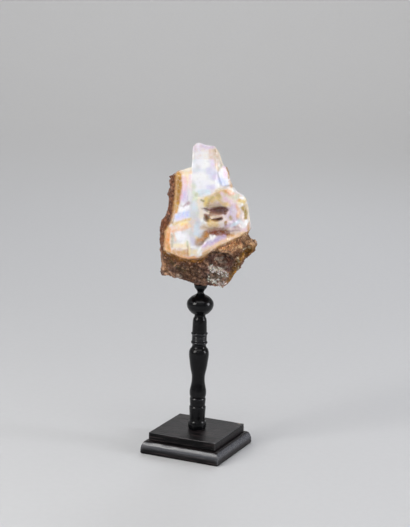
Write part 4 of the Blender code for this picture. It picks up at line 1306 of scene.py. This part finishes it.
    def read(self, mesh: Any, what: str = "co", unit: float = MM) -> Any:
        """Reads the mesh's points or normals.

        Args:
            mesh: The mesh.
            what: "co" or "normal".
            unit: The unit of the result: MM for points in mm, 1 for normals.

        Returns:
            Them as an array.
        """
        flat = np.empty(len(mesh.vertices) * 3, dtype=np.float32)
        mesh.vertices.foreach_get(what, flat)
        return flat.reshape(-1, 3).astype(float) / unit

    def write(self, mesh: Any, points: Any) -> None:
        """Puts points of the stone's frame into the mesh in the row frame.

        Args:
            mesh: The mesh.
            points: Array of (u, v, w) in mm.
        """
        u, v, w = points.T
        cos, sin = math.cos(self.turn), math.sin(self.turn)
        placed = np.stack([cos * u - sin * v, sin * u + cos * v, w + self.seat_height], axis=1) * MM
        mesh.vertices.foreach_set("co", placed.astype(np.float32).ravel())
        mesh.update()

    def noises(self, points: Any, size: float, offset: Corner = (0, 0, 0), way: Any = noise.noise) -> Any:
        """Noise at each point, as one number or, with noise_vector, as three.

        Args:
            points: Array of (u, v, w) in mm.
            size: mm from one swing to the next.
            offset: Moves the pattern, so that two of one size differ.
            way: The noise to take.

        Returns:
            An array of numbers or of vectors.
        """
        return np.array([way(Vector(point) / size + Vector(offset)) for point in points])

    def relief(self, points: Any, rock: Any) -> Any:
        """The low relief: swells and flakes on opal, broken lumps and grains on rock.

        Args:
            points: Array of (u, v, w) in mm.
            rock: Share of host rock at each point.

        Returns:
            How far each point is pushed out, in mm.
        """
        push = np.empty(len(points))
        top = 1.0 - smoothstep(*self.smooth_top, points[:, 2])
        smooth = self.smoothness * (1.0 - smoothstep(*self.smooth_right, points[:, 0]) * top)
        for index, (place, share) in enumerate(zip(points, rock)):
            point = Vector(place)
            swell = noise.noise(point / SWELL_SIZE + Vector((3.1, 0, 7.7))) * SWELL_HEIGHT
            bent = point + noise.noise_vector(point / self.bend[0]) * self.bend[1]
            flake = 0.0
            for size, depth in FLAKES:
                near, _ = noise.voronoi(bent / size + Vector((size, 0, 2.6)))
                flake += (near[0] * near[0] - self.flake_mean) * depth
            value = (swell + flake * (1.0 - smooth[index])) * (1 - share)
            if share > 0:
                lumps, _ = noise.voronoi(point / CHUNK_SIZE + Vector((0, 5.3, 1.9)))
                pebbles, _ = noise.voronoi(point / PEBBLE_SIZE + Vector((8.5, 2.3, 0)))
                grains, _ = noise.voronoi(point / GRAIN_SIZE + Vector((1.7, 0, 4.2)))
                chunk = (lumps[1] - lumps[0] - self.chunk_mean) * CHUNK_HEIGHT
                pebble = (self.pebble_mean - pebbles[0]) * PEBBLE_HEIGHT
                grain = (self.grain_mean - grains[0]) * GRAIN_HEIGHT
                value += (chunk + pebble + grain - self.rock_setback) * share
            push[index] = value
        return push

    def nearness(self, points: Any, lines: Iterable[Sequence[Spot]], reach: float, fade: float) -> Any:
        """1 within reach of any of the lines (u, w) on the front, falling to 0 over the fade.

        Args:
            points: Array of (u, v, w) in mm.
            lines: Each a row of (u, w).
            reach: Half width in mm.
            fade: Width of the falling edge in mm.

        Returns:
            One share for each point.
        """
        here = points[:, [0, 2]]
        nearest = np.full(len(points), np.inf)
        for line in lines:
            for start, end in zip(line, line[1:]):
                first, along = np.array(start), np.array(end) - np.array(start)
                share = np.clip((here - first) @ along / float(along @ along), 0.0, 1.0)
                nearest = np.minimum(nearest, np.hypot(*(here - first - share[:, None] * along).T))
        front = 1.0 - smoothstep(FRONT_ENDS - FRONT_FADE, FRONT_ENDS, points[:, 1])
        outside = np.maximum(nearest - reach, 0.0) / fade
        return np.exp(-outside * outside) * front

    def tints(self, points: Any, rock: Any, height: Any) -> Any:
        """The colour of the stone, with its bands and stains laid over one another, some of them painted
        highlights and shade, with painted shade in the rock's hollows and painted light on its high points.

        Args:
            points: Array of (u, v, w) in mm.
            rock: Share of host rock at each point.
            height: How far the relief pushed each point out, in mm.

        Returns:
            Array of linear red, green, blue and alpha.
        """
        drift = sum(far * self.noises(points, size, way=noise.noise_vector) for size, far in self.drift)
        patchy = self.noises(points, self.patch_size, (4, 4, 0))
        region = self.noises(points, self.region_size, (2, 7, 1))
        mottle = self.noises(points, self.mottle_size, (9, 1, 3))
        milk = self.between(Tint.PEARL, Tint.SNOW, smoothstep(-0.5, 0.6, mottle))
        brown = self.between(Tint.UMBER, Tint.WOOD_ROSE, smoothstep(-0.6, 0.7, region + 0.5 * mottle))
        colour = milk + (brown - milk) * rock[:, None]
        self.speckle(points, rock, COARSE_CLOTS, colour)
        for marks, body in ((OPAL_MARKS, 1.0 - self.opal_marks_stop * rock), (ROCK_MARKS, rock)):
            for mark in marks:
                wandering = points + drift * min(self.most_drift, mark.fade * 1.1)
                share = self.nearness(wandering, [mark.points], mark.half_width * 0.5, mark.fade * 1.15)
                breaks = self.broken_bands * patchy if mark.fade > self.wide_fade else 0.0
                share *= body * mark.share * (1.0 + breaks)
                colour += (mark.tint.rgb - colour) * np.clip(share, 0, 1)[:, None]
        self.speckle(points, rock, FINE_CLOTS, colour)
        # painted shade in the rock's hollows and painted light on its high points, taken from the relief's
        # height
        colour += (Tint.BISTRE.rgb - colour) * (smoothstep(-0.6, -1.5, height) * rock * self.hollow_shade)[:, None]
        colour += (Tint.FELDSPAR.rgb - colour) * (smoothstep(-0.3, 0.7, height) * rock * self.high_point_light)[:, None]
        seam = self.beyond_opal(points) + 0.5 * patchy + 0.35
        stain = np.exp(-np.square(seam / np.where(seam < 0, 1.0, 0.7))) * self.rust
        stain *= points[:, 1] < FRONT_ENDS
        rust = self.between(Tint.CLAY, Tint.TAN, smoothstep(0.5, -0.9, seam))
        colour += (rust - colour) * stain[:, None]
        grey = colour @ np.array([0.2126, 0.7152, 0.0722])
        colour = grey[:, None] + (colour - grey[:, None]) * (1.0 + self.iron * rock)[:, None]
        colour *= 1.0 - rock[:, None] * np.array(self.iron_takes)
        return np.concatenate([colour, np.ones((len(colour), 1))], axis=1)

    def speckle(self, points: Any, rock: Any, clots: Iterable[Corner], colour: Any) -> None:
        """Lays pale and dark clots of sand over the rock's colours, in place.

        Args:
            points: Array of (u, v, w) in mm.
            rock: Share of host rock at each point.
            clots: Size in mm, how drawn out and how strong, for each kind.
            colour: Array of linear colours, changed here.
        """
        kinds = ((Tint.FELDSPAR.rgb, 0.66, 0.96), (Tint.BISTRE.rgb, 0.28, 0.04))
        for index in np.flatnonzero(rock > 0.3):
            point = Vector(points[index])
            for size, stretch, strength in clots:
                bent = Vector(((point.x - 0.5 * point.z) / (size * stretch), point.y / size,
                               (point.z + 0.5 * point.x) / size)) + noise.noise_vector(point / 1.2) * 0.35
                _, cells = noise.voronoi(bent)
                kind = noise.cell(cells[0])
                share = strength * rock[index]
                for tint, none, full in kinds:
                    colour[index] += (tint - colour[index]) * share * float(smoothstep(none, full, kind))

    def between(self, first: Tint, second: Tint, share: Any) -> Any:
        """Colours between two tints."""
        return first.rgb + (second.rgb - first.rgb) * share[:, None]

    # ---- what lies on it

    def grains(self, stone: Any) -> Any:
        """Angular sand grains, scattered over the broken rock and half sunk in it.

        Args:
            stone: The stone.

        Returns:
            The object.
        """
        tree = NodeGeometry("sand grains")
        add = tree.node
        rock = add(Kind.NAMED, "rock")
        bare = add(Kind.MATHS, rock, self.grains_from, operation="GREATER_THAN")
        density, seed = tree.given("Density", self.grain_density), tree.given("Seed", self.grain_seed)
        number = add(Kind.MATHS, bare, density, operation="MULTIPLY")
        spots = add(Kind.SPOTS, tree.source, number, seed)
        ball = add(Kind.BALL, tree.given("Grain radius", self.grain_radius * MM), 1)
        dent = add(Kind.RANDOM, (-self.grain_dent * MM,) * 3, (self.grain_dent * MM,) * 3, seed)
        grain = add(Kind.SHAPED, ball, None, dent)
        self.scatter(tree, spots, grain, seed, self.grain_scales, math.pi,
                     SandGrains("sand_grains", self.turn, self.seat_height).material())
        return add_object("sand_grains", tree.run(stone))

    def quartz(self, stone: Any) -> Any:
        """Six-sided quartz points in small patches low on the front.

        Args:
            stone: The stone.

        Returns:
            The object.
        """
        tree = NodeGeometry("quartz points")
        add = tree.node
        density = tree.given("Density", self.quartz_density)
        number = add(Kind.MATHS, add(Kind.NAMED, "quartz"), density, operation="MULTIPLY")
        seed = tree.given("Seed", self.quartz_seed)
        spots = add(Kind.SPOTS, tree.source, number, seed)
        tip, foot = (radius * MM for radius in self.quartz_radii)
        point = add(Kind.CONE, 6, 2, tip, foot, tree.given("Point length", self.quartz_length * MM))
        self.scatter(tree, spots, point, seed, self.quartz_scales, self.quartz_tilt,
                     ClearQuartz("quartz_points", self.turn, self.seat_height).material())
        return add_object("quartz_points", tree.run(stone))

    def scatter(self, tree: NodeGeometry, spots: Any, grain: Any, seed: Any, scales: tuple[Corner, Corner],
                tilt: float, finish: Any) -> None:
        """Puts a grain on every spot, turned and sized at random, and ends the tree.

        Args:
            tree: The tree.
            spots: The points.
            grain: The grain's geometry.
            seed: The seed's socket.
            scales: Least and greatest scale.
            tilt: How far a grain may lean from the surface's normal, in radians.
            finish: Material of the grains.
        """
        add = tree.node
        size = add(Kind.RANDOM, *scales, seed)
        lean = add(Kind.RANDOM, (-tilt, -tilt, -math.pi), (tilt, tilt, math.pi), seed)
        leaning = add(Kind.LEAN, spots.node.outputs["Rotation"], lean)
        laid = add(Kind.INSTANCES, spots, grain, leaning, size)
        shade = add(Kind.RANDOM_SHARE, 0.0, 1.0, seed)
        tree.finish(add(Kind.STORE, laid, "shade", shade, domain="INSTANCE"), finish)


# ---------------------------------------------------------------- the stand


def rounded(profile: Sequence[Spot], step: float, corner: float = 48.0) -> list[Spot]:
    """Draws a smooth line through a turner's profile, keeping its sharp corners.

    Args:
        profile: (radius, height) points.
        step: Greatest spacing of the new points, in mm.
        corner: Bends sharper than this many degrees stay sharp.

    Returns:
        The finer profile.
    """
    points = [Vector(point) for point in profile]
    lines = [after - before for before, after in zip(points, points[1:])]
    slopes = []
    for index in range(len(points)):
        before = lines[index - 1] if index else lines[0]
        after = lines[index] if index < len(lines) else lines[-1]
        bend = math.degrees(before.angle(after))
        share = before.length / (before.length + after.length)
        mean = (before.normalized() * (1 - share) + after.normalized() * share).normalized()
        slopes.append((before.normalized(), after.normalized()) if bend > corner else (mean, mean))
    fine = []
    for index, line in enumerate(lines):
        count = max(1, math.ceil(line.length / step))
        start, end = slopes[index][1] * line.length, slopes[index + 1][0] * line.length
        for part in range(count):
            t = part / count
            fine.append(points[index] * (2 * t**3 - 3 * t**2 + 1) + start * (t**3 - 2 * t**2 + t)
                        + points[index + 1] * (3 * t**2 - 2 * t**3) + end * (t**3 - t**2))
    fine.append(points[-1])
    return [(max(point.x, 0.0), point.y) for point in fine]


def turned(name: str, profile: Sequence[Spot], bottom: float, sides: int, wear: Sequence[float],
           finish: Any) -> Any:
    """Turns a profile round the upright axis, as a lathe does.

    Args:
        name: The piece's name.
        profile: (radius, height) in mm, bottom to top.
        bottom: Height of the piece's underside, in mm.
        sides: Steps in a full turn.
        wear: How worn each point of the profile is, from 0 to 1; the same share lays a painted highlight on
            the beads.
        finish: Its material.

    Returns:
        The mesh, closed where the profile meets the axis.
    """
    line = bpy.data.meshes.new("profile")
    line.from_pydata([(radius * MM, 0, (height + bottom) * MM) for radius, height in profile],
                     [(index, index + 1) for index in range(len(profile) - 1)], [])
    store(line, "wear", np.array(wear, dtype=float))
    path = add_object("profile", line)
    tree = NodeGeometry("turned profile")
    add = tree.node
    steps = tree.given("Steps in a turn", sides)
    around = add(Kind.MATHS, steps, 1.0, operation="ADD")
    grid = add(Kind.GRID, add(Kind.COUNT, tree.source), around)
    index = add(Kind.INDEX)
    row = add(Kind.MATHS, add(Kind.MATHS, index, around, operation="DIVIDE"), operation="FLOOR")
    place = add(Kind.MATHS, index, around, operation="MODULO")
    share = add(Kind.MATHS, place, steps, operation="DIVIDE")
    angle = add(Kind.MATHS, share, math.tau, operation="MULTIPLY")
    at = add(Kind.SAMPLE, tree.source, row, add(Kind.POSITION), data_type="FLOAT_VECTOR")
    shaped = add(Kind.SHAPED, grid, add(Kind.SWING, at, angle))
    rubbed_sheen = add(Kind.SAMPLE, tree.source, row, add(Kind.NAMED, "wear"), data_type="FLOAT")
    marked = add(Kind.STORE, shaped, "wear", rubbed_sheen, domain="POINT")
    tree.finish(add(Kind.MERGE, marked, 0.001 * MM), finish)
    mesh = tree.run(path)
    discard(path)
    shape = bmesh.new()
    shape.from_mesh(mesh)
    bmesh.ops.dissolve_degenerate(shape, edges=shape.edges, dist=0.0005 * MM)
    bmesh.ops.recalc_face_normals(shape, faces=shape.faces)
    shape.to_mesh(mesh)
    shape.free()
    mesh.shade_smooth()
    mesh.set_sharp_from_angle(angle=math.radians(38))
    mesh.name = name
    return mesh


@dataclass
class TurnedColumn:
    """The column, turned from one piece: ring, drum, bulb, baluster, beads, ball and seat. Sizes in mm."""

    bottom: float
    name: str = "turned_column_wood"
    node: str = "turned_column"
    sides: int = 112
    step: float = 0.45
    waist: float = 4.98  # radius between the two beads
    reeds: tuple[float, ...] = (60.9, 61.8, 62.7, 63.6)  # fine lines cut there
    reed_depth: float = 0.16
    reed_width: float = 0.5
    rub_and_sheen: float = 5.0  # worn grey and painted highlight for each mm that a place stands proud of its neighbours
    reed_wear_and_sheen: float = 0.5  # most worn grey and painted highlight among the reeds

    def profile(self) -> list[Spot]:
        """The profile with the fine lines between the beads."""
        low, high = self.reeds[0] - 0.5, self.reeds[-1] + 0.5
        cut = [(radius, height) for radius, height in COLUMN_PROFILE if not low < height < high]
        for height in self.reeds:
            cut += [(self.waist, height - self.reed_width / 2), (self.waist - self.reed_depth, height),
                    (self.waist, height + self.reed_width / 2)]
        return sorted(cut, key=lambda point: point[1])

    def build(self) -> Any:
        """Builds the column and hands it over."""
        fine = rounded(self.profile(), self.step)
        spine = [(0.0, fine[0][1]), *fine, (0.0, fine[-1][1])]
        # the share laid on proud beads is partly worn wood and partly a painted highlight, standing for the
        # light lines that the softboxes draw along the rings
        wear = [0.0]
        for before, point, after in zip(spine, spine[1:], spine[2:]):
            bulge = 2 * point[0] - before[0] - after[0]
            reeded = self.reeds[0] - 1.0 < point[1] < self.reeds[-1] + 1.0
            wear.append(min(self.reed_wear_and_sheen if reeded else 1.0, max(0.0, bulge * self.rub_and_sheen)))
        wear.append(0.0)
        wood = EbonisedWood("ebonised_beech_turned", (0.0, 0.0, 1.0), 0.20, 0.04, "#0c0c0f", 0.20)
        mesh = turned(self.name, spine, self.bottom, self.sides, wear, wood.material())
        piece = add_object(self.name, mesh)
        hand_over(piece, self.node)
        return piece


@dataclass
class Plate:
    """A square plate of the base, sawn along the grain, its edge moulded with a plane, its pores left open.

    Sizes are in mm.
    """

    node: str
    bottom: float
    edge: Sequence[Spot]  # (half width, height above the plate's underside), bottom to top
    along_step: float = 1.1
    across_step: float = 0.34
    pore_length: float = 7.0
    pore_width: float = 0.55
    pore_depth: float = 0.13
    field_length: float = 14.0  # pores come and go over this length
    field_width: float = 2.2
    rubbed_sheen_slope: float = 0.42  # edges whose normals have about this rise are worn, and greyed as a painted reflection of the softbox
    rub_and_sheen: float = 1.8
    corner_reach: float = 1.6
    corner_rub: float = 0.4
    worn_spot: tuple[float, float, float] | None = None  # (x, y, radius) of bare wood on the upper edge

    def build(self) -> Any:
        """Builds the plate and hands it over."""
        shape = bmesh.new()
        half = self.edge[-1][0]
        lengths = self.spread(half, self.along_step), self.spread(half, self.across_step)
        rings = [self.ring(shape, lengths, width / half, height) for width, height in self.edge]
        for lower, upper in zip(rings, rings[1:]):
            for index in range(len(lower)):
                after = (index + 1) % len(lower)
                shape.faces.new((lower[index], lower[after], upper[after], upper[index]))
        shape.faces.new(list(reversed(rings[0])))
        self.top(shape, rings[-1], lengths)
        name = self.node + "_wood"
        mesh = mesh_from(shape, name)
        self.open_pores(mesh)
        mesh.shade_smooth()
        mesh.set_sharp_from_angle(angle=math.radians(42))
        wood = EbonisedWood("ebonised_beech_sawn_" + self.node, (1.0, 0.0, 0.0), 0.36, 0.08, "#3a3132",
                            0.13)
        piece = add_object(name, mesh, wood.material())
        hand_over(piece, self.node)
        return piece

    def spread(self, half: float, step: float) -> list[float]:
        """Even places from one side of the plate to the other."""
        count = max(2, round(2 * half / step))
        return [-half + 2 * half * index / count for index in range(count + 1)]

    def ring(self, shape: Any, lengths: tuple[list[float], list[float]], stretch: float,
             height: float) -> list[Any]:
        """One square ring of points, counter-clockwise from the near left corner.

        Args:
            shape: The bmesh.
            lengths: Places along and across the grain, in mm.
            stretch: The ring's size against theirs.
            height: Its height above the plate's underside, in mm.

        Returns:
            The points.
        """
        along, across = lengths
        low, high = along[0], along[-1]
        places = [(x, low) for x in along[:-1]] + [(high, y) for y in across[:-1]]
        places += [(x, high) for x in reversed(along[1:])] + [(low, y) for y in reversed(across[1:])]
        level = (height + self.bottom) * MM
        return [shape.verts.new((x * stretch * MM, y * stretch * MM, level)) for x, y in places]

    def top(self, shape: Any, ring: list[Any], lengths: tuple[list[float], list[float]]) -> None:
        """Fills the top with a grid that shares the last ring's points.

        Args:
            shape: The bmesh.
            ring: The last ring.
            lengths: Places along and across the grain, in mm.
        """
        along, across = lengths
        columns, rows = len(along) - 1, len(across) - 1
        level = ring[0].co.z
        rim = [(i, 0) for i in range(columns)] + [(columns, j) for j in range(rows)]
        rim += [(i, rows) for i in range(columns, 0, -1)] + [(0, j) for j in range(rows, 0, -1)]
        grid = dict(zip(rim, ring))
        for i in range(columns + 1):
            for j in range(rows + 1):
                if (i, j) not in grid:
                    grid[i, j] = shape.verts.new((along[i] * MM, across[j] * MM, level))
        for i in range(columns):
            for j in range(rows):
                shape.faces.new((grid[i, j], grid[i + 1, j], grid[i + 1, j + 1], grid[i, j + 1]))

    def open_pores(self, mesh: Any) -> None:
        """Sinks the wood's pores in, long along the grain and round on its ends, and marks where it is worn
        and where a painted reflection greys the moulding.

        Args:
            mesh: The plate's mesh.
        """
        top = self.bottom + self.edge[-1][1]
        half = self.edge[0][0]
        wear = np.zeros(len(mesh.vertices))
        places = []
        for vert in mesh.vertices:
            x, y, z = vert.co / MM
            pore = noise.noise(Vector((x / self.pore_length, y / self.pore_width, z / self.pore_width))
                               + Vector((0, self.bottom, 0)))
            field = noise.noise(Vector((x / self.field_length, y / self.field_width, z / self.field_width)))
            sunk = max(0.0, min(1.0, (pore + 0.35 * field - 0.12) / 0.35)) * self.pore_depth
            if z < self.bottom + 0.05:
                sunk = 0.0
            places.append(vert.co - vert.normal * sunk * MM)
            edge = max(abs(x), abs(y))
            # partly worn, partly a painted reflection: the grey goes on the band of the moulding that faces
            # the softbox
            rub_and_sheen = max(0.0, 1.0 - abs(vert.normal.z - self.rubbed_sheen_slope) / self.rubbed_sheen_slope) * self.rub_and_sheen
            corner = max(0.0, 1.0 - (half - min(abs(x), abs(y))) / self.corner_reach)
            wear[vert.index] = min(1.0, rub_and_sheen + corner * self.corner_rub * (edge > half - 2.0))
            if self.worn_spot is not None and z > top - 1.0:
                spot_x, spot_y, radius = self.worn_spot
                if math.hypot(x - spot_x, y - spot_y) < radius:
                    wear[vert.index] = 2.0
        for vert, place in zip(mesh.vertices, places):
            vert.co = place
        store(mesh, "wear", wear)


@dataclass
class Stand:
    """The turned column on its two square plates. Sizes in mm."""

    foot_width: float = 56.2
    foot_height: float = FOOT_HEIGHT
    foot_step: float = 0.45
    foot_corner: float = 60.0  # bends of the moulding sharper than this many degrees stay sharp
    plinth_width: float = 48.0
    plinth_height: float = 5.3
    plinth_ease: float = 0.3
    plinth_levels: int = 12

    @property
    def plinth_bottom(self) -> float:
        """Height of the upper plate's underside."""
        return self.foot_height + TOUCH_GAP

    @property
    def column_bottom(self) -> float:
        """Height of the column's underside."""
        return self.plinth_bottom + self.plinth_height + TOUCH_GAP

    @property
    def seat_height(self) -> float:
        """Height at which the stone sits."""
        return self.column_bottom + COLUMN_PROFILE[-1][1] + TOUCH_GAP

    def build(self) -> list[Any]:
        """Builds the three pieces, from the floor up."""
        foot_line = [(self.foot_width / 2 - inset, height) for inset, height in FOOT_EDGE]
        foot = Plate("base_lower_plate", 0.0, rounded(foot_line, self.foot_step, self.foot_corner))
        half, high, ease = self.plinth_width / 2, self.plinth_height, self.plinth_ease
        levels = [high * part / self.plinth_levels for part in range(self.plinth_levels)]
        edge = [(half, height) for height in levels if height < high - ease]
        edge += [(half, high - ease), (half - 0.3 * ease, high - 0.3 * ease), (half - ease, high)]
        plinth = Plate("base_upper_plate", self.plinth_bottom, edge, worn_spot=(21.4, 22.7, 1.1))
        return [foot.build(), plinth.build(), TurnedColumn(self.column_bottom).build()]


# ---------------------------------------------------------------- the studio


class Lamp(NamedTuple):
    """A softbox: degrees round from the camera and up, distance and size in metres, watts and colour."""

    name: str
    around: float
    up: float
    away: float
    width: float
    height: float
    power: float
    colour: str
    beyond: float = 0.0  # metres past the object, seen from the lamp, at which it is aimed


@dataclass
class Studio:
    """Camera, softboxes and a sweep of pale paper that rises all round. Sizes in metres."""

    azimuth: float = math.radians(24.25)
    pitch: float = math.radians(12.12)
    roll: float = math.radians(1.56)
    distance: float = 1.04976
    aim_right: float = 0.0024
    aim_up: float = 0.126984
    lens: float = 72.87
    sensor: float = 24.0
    nearest: float = 0.01
    farthest: float = 20.0
    floor_level: float = -0.0001  # just under the foot
    floor_radius: float = 1.5
    floor_sides: int = 96
    sweep: float = 0.8
    sweep_steps: int = 12
    wall_top: float = 2.6
    lamp_height: float = 0.13
    air_colour: str = "#ebe9e6"
    air_strength: float = 0.15

    def away_from(self, around: float, up: float) -> Vector:
        """Unit vector from the object, for angles round and up in radians."""
        return Vector((math.sin(around) * math.cos(up), -math.cos(around) * math.cos(up), math.sin(up)))

    def hang(self, name: str, data: Any, back: Vector, place: Vector, roll: float = 0.0) -> Any:
        """Adds a camera or a lamp that looks against the way back.

        Args:
            name: Its name.
            data: The camera or lamp.
            back: Unit vector from what it looks at.
            place: Where it stands.
            roll: How far it is turned about its view, in radians.

        Returns:
            The object.
        """
        made = bpy.data.objects.new(name, data)
        bpy.context.scene.collection.objects.link(made)
        made.rotation_mode = "QUATERNION"
        made.rotation_quaternion = (-back).to_track_quat("-Z", "Y") @ Quaternion((0, 0, 1), roll)
        made.location = place
        return made

    def camera(self) -> None:
        """Sets the camera."""
        data = bpy.data.cameras.new("camera")
        data.sensor_fit = "VERTICAL"
        data.sensor_height = self.sensor
        data.lens = self.lens
        data.clip_start, data.clip_end = self.nearest, self.farthest
        back = self.away_from(self.azimuth, self.pitch)
        right = Vector((math.cos(self.azimuth), math.sin(self.azimuth), 0))
        place = right * self.aim_right + Vector((0, 0, self.aim_up)) + back * self.distance
        bpy.context.scene.camera = self.hang("camera", data, back, place, self.roll)

    def lamps(self) -> None:
        """Hangs the softboxes."""
        for lamp in LAMPS:
            data = bpy.data.lights.new(lamp.name, "AREA")
            data.shape = "RECTANGLE"
            data.size, data.size_y = lamp.width, lamp.height
            data.energy = lamp.power
            data.color = linear(lamp.colour)[:3]
            side = self.azimuth + math.radians(lamp.around)
            back = self.away_from(side, math.radians(lamp.up))
            aim = self.away_from(side, 0.0) * -lamp.beyond + Vector((0, 0, self.lamp_height))
            self.hang(lamp.name, data, back, aim + back * lamp.away)

    def floor(self) -> None:
        """Lays the paper: flat under the object, curving up far from it on every side."""
        line = [(radius, self.floor_level) for radius in (0.0, 0.6, 1.0, self.floor_radius)]
        for part in range(1, self.sweep_steps + 1):
            angle = math.pi / 2 * part / self.sweep_steps
            out, high = self.sweep * math.sin(angle), self.sweep * (1 - math.cos(angle))
            line.append((self.floor_radius + out, high))
        line.append((self.floor_radius + self.sweep, self.wall_top))
        profile = [(radius / MM, height / MM) for radius, height in line]
        paper = turned("paper_floor", profile, 0.0, self.floor_sides, [0.0] * len(profile),
                       PaperSweep("background_paper").material())
        paper.flip_normals()
        add_object("paper_floor", paper)

    def air(self) -> None:
        """A little even light from all round."""
        world = bpy.data.worlds.new("studio")
        world.use_nodes = True
        tree = world.node_tree
        light = {"Color": linear(self.air_colour), "Strength": self.air_strength}
        connect(tree, tree.nodes["Background"], light)
        bpy.context.scene.world = world

    def build(self) -> None:
        """Sets up the studio."""
        self.camera()
        self.lamps()
        self.floor()
        self.air()
        bpy.context.scene.view_settings.view_transform = "Standard"


LAMPS = [
    Lamp("left softbox", -55, 27, 1.0, 0.38, 0.60, 6.1, "#fffdf9"),
    Lamp("right softbox", 78, 14, 1.0, 0.24, 0.42, 4.5, "#fbfbff"),
    Lamp("overhead", 0, 66, 1.1, 1.1, 0.35, 2.9, "#ffffff"),
    Lamp("back rim", 170, 40, 1.2, 0.5, 0.4, 2.6, "#f4f7ff"),
    # four over the paper, all round, so that it is pale and even behind the object from every side
    Lamp("paper behind", 0, 88, 1.1, 1.8, 0.9, 8.5, "#fffdfa", 1.75),
    Lamp("paper on the left", 90, 88, 1.1, 1.8, 0.9, 3.5, "#fffdfa", 1.75),
    Lamp("paper in front", 180, 88, 1.1, 1.8, 0.9, 3.0, "#fffdfa", 1.75),
    Lamp("paper on the right", 270, 88, 1.1, 1.8, 0.9, 3.5, "#fffdfa", 1.75),
]


def main() -> None:
    """Builds the studio, the stand and the stone."""
    logging.basicConfig(level=logging.INFO, format="%(name)s: %(message)s")
    Studio().build()
    stand = Stand()
    pieces = stand.build() + Specimen(stand.seat_height).build()
    LOG.info("%d pieces", len(pieces))


if __name__ == "__main__":
    main()
